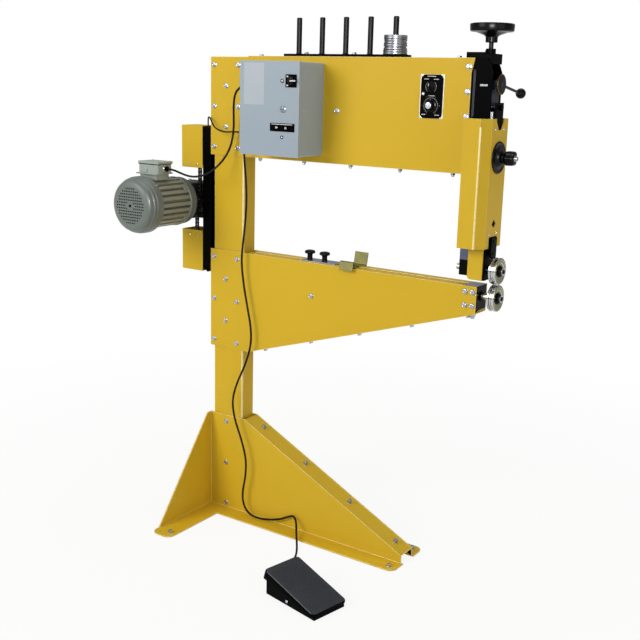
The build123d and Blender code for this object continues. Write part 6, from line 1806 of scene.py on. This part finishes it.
@dataclass
class Wiring:
    """Cables between motor, box, channel and pedal, with their glands."""

    diameter: float = 7.0
    thin: float = 5.0
    gland_face: float = 145.0
    gland_flats: float = 15.4
    motor_gland: tuple = (-156.0, -176.0, 1226.0)
    channel_gland: tuple = (-97.95, -24.95, 1361.5)
    box_glands: tuple = ((-94.0, 1508.0), (-110.0, 1358.0), (-80.0, 1326.0))

    def routes(self) -> dict[str, tuple[list, float, float]]:
        """Gives each cable's points, diameter and real length in millimetres.

        Returns:
            Points, diameter and length by cable.
        """
        face = self.gland_face
        motor = [(-142, -176, 1226), (-122, -176, 1226), (-92, -172, 1216), (-60, -158, 1205),
                 (-32, -134, 1208),
                 (-10, -106, 1226), (10, -80, 1256), (27, -62, 1296), (39, -58, 1344), (44, -62, 1394),
                 (50, -72, 1440), (66, -84, 1480), (97, -92, 1502), (122, -94, 1508), (face, -94, 1508)]
        panel = [self.channel_gland, (self.channel_gland[0], self.channel_gland[1], 1380), (-90, -34, 1396),
                 (-73, -46, 1398), (-58, -53, 1382), (-44, -57, 1366), (-20, -62, 1357), (20, -78, 1353),
                 (66, -98, 1357), (108, -110, 1358), (face, -110, 1358)]
        pedal = [(face, -80, 1326), (118, -80, 1326), (98, -74, 1304), (92, -66, 1266), (96, -62, 1210),
                 (99, -60, 1140), (94, -60, 1060), (84, -60, 985), (78, -60, 925), (88, -60, 850),
                 (106, -60, 770),
                 (124, -60, 692), (121, -60, 630), (96, -60, 560), (62, -62, 490), (44, -64, 425),
                 (58, -66, 360),
                 (90, -66, 290), (112, -66, 220), (108, -65, 155), (96, -64, 105), (94, -63, 66),
                 (104, -62, 34),
                 (130, -62, 14), (172, -60, 11), (214, -54, 17), (254, -50, 29), (286, -48, 47),
                 (309, -49, 57),
                 (326, -58, 46), (338, -72, 25), (352, -92, 16), (372, -118, 14), (398, -152, 6),
                 (424, -192, 4),
                 (444, -238, 4), (456, -284, 7), (465, -320, 16), self.pedal_point(2), self.pedal_point(1)]
        return {"motor_cable": (motor, self.diameter, 533.0), "panel_cable": (panel, self.thin, 301.0),
                "pedal_cable": (pedal, self.diameter, 1956.0)}

    @staticmethod
    def pedal_point(glands: float) -> tuple[float, float, float]:
        """Point in line with the pedal's gland, some gland lengths from the pedal's back."""
        turn = math.radians(Pedal.yaw)
        x, y = Pedal.place
        along, aside = -106.0 - 14.0 * glands, 40.0
        return (x + along * math.cos(turn) - aside * math.sin(turn),
                y + along * math.sin(turn) + aside * math.cos(turn), 24.0)

    def build(self, bench: Bench) -> None:
        """Builds the cables and the glands."""
        for name, (points, diameter, length) in self.routes().items():
            self.lay(bench, name, points, diameter)
        glands = [self.gland(self.motor_gland, X_AXIS), self.gland(self.channel_gland, DOWN, True)]
        glands += [self.gland((159.0, y, z), (-1, 0, 0)) for y, z in self.box_glands]
        bench.piece("cable_glands_finished", together(glands), MOULDED, "frame", ["cable_glands"], 34.0)

    def gland(self, origin: Point, axis: Point, plain: bool = False) -> Shape:
        """Cable gland: hexagon body, ribbed dome nut and its sealing lip.

        Args:
            origin: middle of its foot.
            axis: the axis.
            plain: whether it is a smooth bush.

        Returns:
            Points and faces.
        """
        if plain:
            return lathe(eased([(0.0, 0.5), (0.0, 7.6), (3.0, 8.8), (13.0, 8.8), (14.0, 8.0), (14.0, 0.5)],
                               0.8, 3), origin, axis, 40)

        def ribs(a: np.ndarray, w: np.ndarray) -> np.ndarray:
            """Radius factor: ribs on the dome nut only."""
            dome = np.clip((a - 5.0) * 2, 0, 1) * np.clip(12.0 - a, 0, 1)
            return 1 - dome * 0.05 * (0.5 + 0.5 * np.cos(12 * w))

        w = np.linspace(0, 2 * np.pi, 48, endpoint=False)
        nut = lathe(eased([(4.4, 8.8), (11.0, 8.6), (13.0, 6.8), (13.9, 5.0), (13.9, 0.5)], 0.8, 3), origin,
                    axis, 72, False, ribs)
        hexagon = hexagon_reach(self.gland_flats, w)
        first, second = cross_axes(axis)
        rings = np.array([np.asarray(origin, float) + unit(axis) * a + (hexagon * np.cos(w))[:, None] * first
                          + (hexagon * np.sin(w))[:, None] * second for a in (-0.5, 4.6)])
        return together([nut, loft(rings)])

    def lay(self, bench: Bench, name: str, points: list, diameter: float) -> None:
        """Lays a cable along its points as one smooth spline.

        Args:
            bench: where it is made.
            name: CAD node that it stands for.
            points: route in millimetres.
            diameter: of the cable.
        """
        curve = bpy.data.curves.new(f"{name}_laid", "CURVE")
        curve.dimensions = "3D"
        curve.bevel_depth = diameter / 2 * MM
        curve.bevel_resolution = 4
        curve.resolution_u = 10
        curve.use_fill_caps = True
        spline = curve.splines.new("NURBS")
        spline.points.add(len(points) - 1)
        route = np.ones((len(points), 4))
        route[:, :3] = np.asarray(points, float) * MM
        spline.points.foreach_set("co", route.ravel())
        spline.order_u = 3
        spline.use_endpoint_u = True
        made = placed(f"{name}_laid", curve)
        curve.materials.append(SHEATH.material())
        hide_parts(name)
        bench.dressed.add(name)
        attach(made, "frame")
        log.info("%s: %d points, rides on frame", name, len(points))


# Studio


@dataclass
class Studio:
    """Pale floor, soft light and the camera at the photograph's viewing angle."""

    place: tuple = (2.1212, -2.6220, 1.5158)
    yaw: float = 33.825
    pitch: float = -13.544
    roll: float = 1.542
    lens: float = 55.13
    sensor: float = 36.0

    def camera(self) -> None:
        """Places the camera: forward (-sin y cos p, cos y cos p, sin p), then turned by the roll."""
        y, p, r = (math.radians(a) for a in (self.yaw, self.pitch, self.roll))
        forward = np.array((-math.sin(y) * math.cos(p), math.cos(y) * math.cos(p), math.sin(p)))
        right = np.array((math.cos(y), math.sin(y), 0.0))
        up = np.cross(right, forward)
        turned_right = right * math.cos(r) + up * math.sin(r)
        turned_up = -right * math.sin(r) + up * math.cos(r)
        data = bpy.data.cameras.new("photo_camera")
        data.lens, data.sensor_width, data.sensor_fit = self.lens, self.sensor, "HORIZONTAL"
        data.clip_start, data.clip_end = 0.05, 60.0
        made = placed("photo_camera", data)
        axes = Matrix((turned_right, turned_up, -forward)).transposed().to_4x4()
        made.matrix_world = Matrix.Translation(self.place) @ axes
        bpy.context.scene.camera = made

    def floor(self) -> None:
        """Lays a pale floor that turns plain white away from the object and keeps its shadow."""
        material = bpy.data.materials.new("studio_floor")
        material.use_nodes = True
        tree = material.node_tree
        tree.nodes.clear()
        coords = add(tree, "ShaderNodeTexCoord").outputs["Object"]
        distance = add(tree, "ShaderNodeVectorMath", {"operation": "LENGTH"},
                       links={0: coords}).outputs["Value"]
        far = add(tree, "ShaderNodeMapRange",
                  values={"From Min": 0.9, "From Max": 2.6, "To Min": 0.89, "To Max": 1.0},
                  links={"Value": distance}).outputs["Result"]
        path = add(tree, "ShaderNodeLightPath")
        seen = add(tree, "ShaderNodeMath", {"operation": "MAXIMUM"},
                   links={0: path.outputs["Is Camera Ray"], 1: path.outputs["Is Glossy Ray"]}).outputs[0]
        share = add(tree, "ShaderNodeMath", {"operation": "MULTIPLY"}, links={0: far, 1: seen}).outputs[0]
        matt = add(tree, "ShaderNodeBsdfDiffuse", values={"Color": linear("E9E8E4")}).outputs[0]
        white = add(tree, "ShaderNodeEmission",
                    values={"Color": linear("FFFFFF"), "Strength": 1.0}).outputs[0]
        mixed = add(tree, "ShaderNodeMixShader", links={0: share, 1: matt, 2: white}).outputs[0]
        add(tree, "ShaderNodeOutputMaterial", links={"Surface": mixed})
        half = 12.0
        mesh = bpy.data.meshes.new("studio_floor")
        mesh.from_pydata([(-half, -half, 0), (half, -half, 0), (half, half, 0), (-half, half, 0)], [],
                         [(0, 1, 2, 3)])
        mesh.materials.append(material)
        made = placed("studio_floor", mesh)
        made.location = (0.35, 0.0, -0.0005)

    def lamp(self, name: str, place: Point, target: Point, size: float, power: float, colour: str,
             glints: bool = False) -> None:
        """Hangs a square soft lamp that faces a target.

        Args:
            name: of the lamp.
            place: where it hangs, in metres.
            target: what it faces.
            size: length of its side.
            power: in watts.
            colour: sRGB hex colour.
            glints: whether it is seen only in reflections, so that it brightens folds and metal alone.
        """
        data = bpy.data.lights.new(name, "AREA")
        data.shape, data.size, data.energy = "SQUARE", size, power
        data.color = linear(colour)[:3]
        made = placed(name, data)
        made.location = place
        aim = Vector(target) - Vector(place)
        made.rotation_euler = aim.to_track_quat("-Z", "Y").to_euler()
        made.visible_diffuse = not glints

    def world(self) -> None:
        """Gives the surroundings: soft grey-white light on the object, plain white to the eye."""
        world = bpy.data.worlds.new("studio_world")
        bpy.context.scene.world = world
        world.use_nodes = True
        tree = world.node_tree
        tree.nodes.clear()
        path = add(tree, "ShaderNodeLightPath")
        seen = add(tree, "ShaderNodeMath", {"operation": "MAXIMUM"},
                   links={0: path.outputs["Is Camera Ray"],
                          1: path.outputs["Is Transmission Ray"]}).outputs[0]
        soft = add(tree, "ShaderNodeBackground",
                   values={"Color": linear("F2F4F6"), "Strength": 0.42}).outputs[0]
        white = add(tree, "ShaderNodeBackground",
                    values={"Color": linear("FFFFFF"), "Strength": 1.0}).outputs[0]
        mixed = add(tree, "ShaderNodeMixShader", links={0: seen, 1: soft, 2: white}).outputs[0]
        add(tree, "ShaderNodeOutputWorld", links={"Surface": mixed})

    def build(self) -> None:
        """Sets the studio up."""
        bpy.context.scene.view_settings.view_transform = "Standard"
        self.camera()
        self.floor()
        self.world()
        self.lamp("key_softbox", (-1.6, -4.2, 3.0), (0.35, 0.0, 0.9), 2.6, 150.0, "FFFBF4")
        self.lamp("fill_softbox", (4.6, -1.2, 2.2), (0.4, 0.0, 0.9), 2.4, 36.0, "FFF4E0")
        self.lamp("top_softbox", (0.4, 0.6, 4.6), (0.4, 0.0, 0.8), 2.8, 52.0, "FFFFFF")
        self.lamp("fold_light", (2.2, -3.0, 2.0), (0.4, 0.0, 0.9), 0.9, 160.0, "FFFFFF", True)


def main() -> None:
    """Builds the sub-assemblies in order, then the studio."""
    logging.basicConfig(level=logging.INFO, format="%(message)s")
    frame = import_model()
    bench = Bench(frame["nodes"])
    for part in (SheetFrame(), RearDrive(), Motor(), Head(), RollPair(), ControlBox(), ArmPanel(), ArmTop(),
                 LowerArmTop(), Pedal(), Wiring()):
        part.build(bench)
        log.info("%s done", type(part).__name__)
    for node in sorted(set(frame["nodes"]) - bench.dressed):
        log.info("node %s is dressed as it is", node)
        bench.plain(node, BLACK_OXIDE)
    Studio().build()


if __name__ == "__main__":
    main()
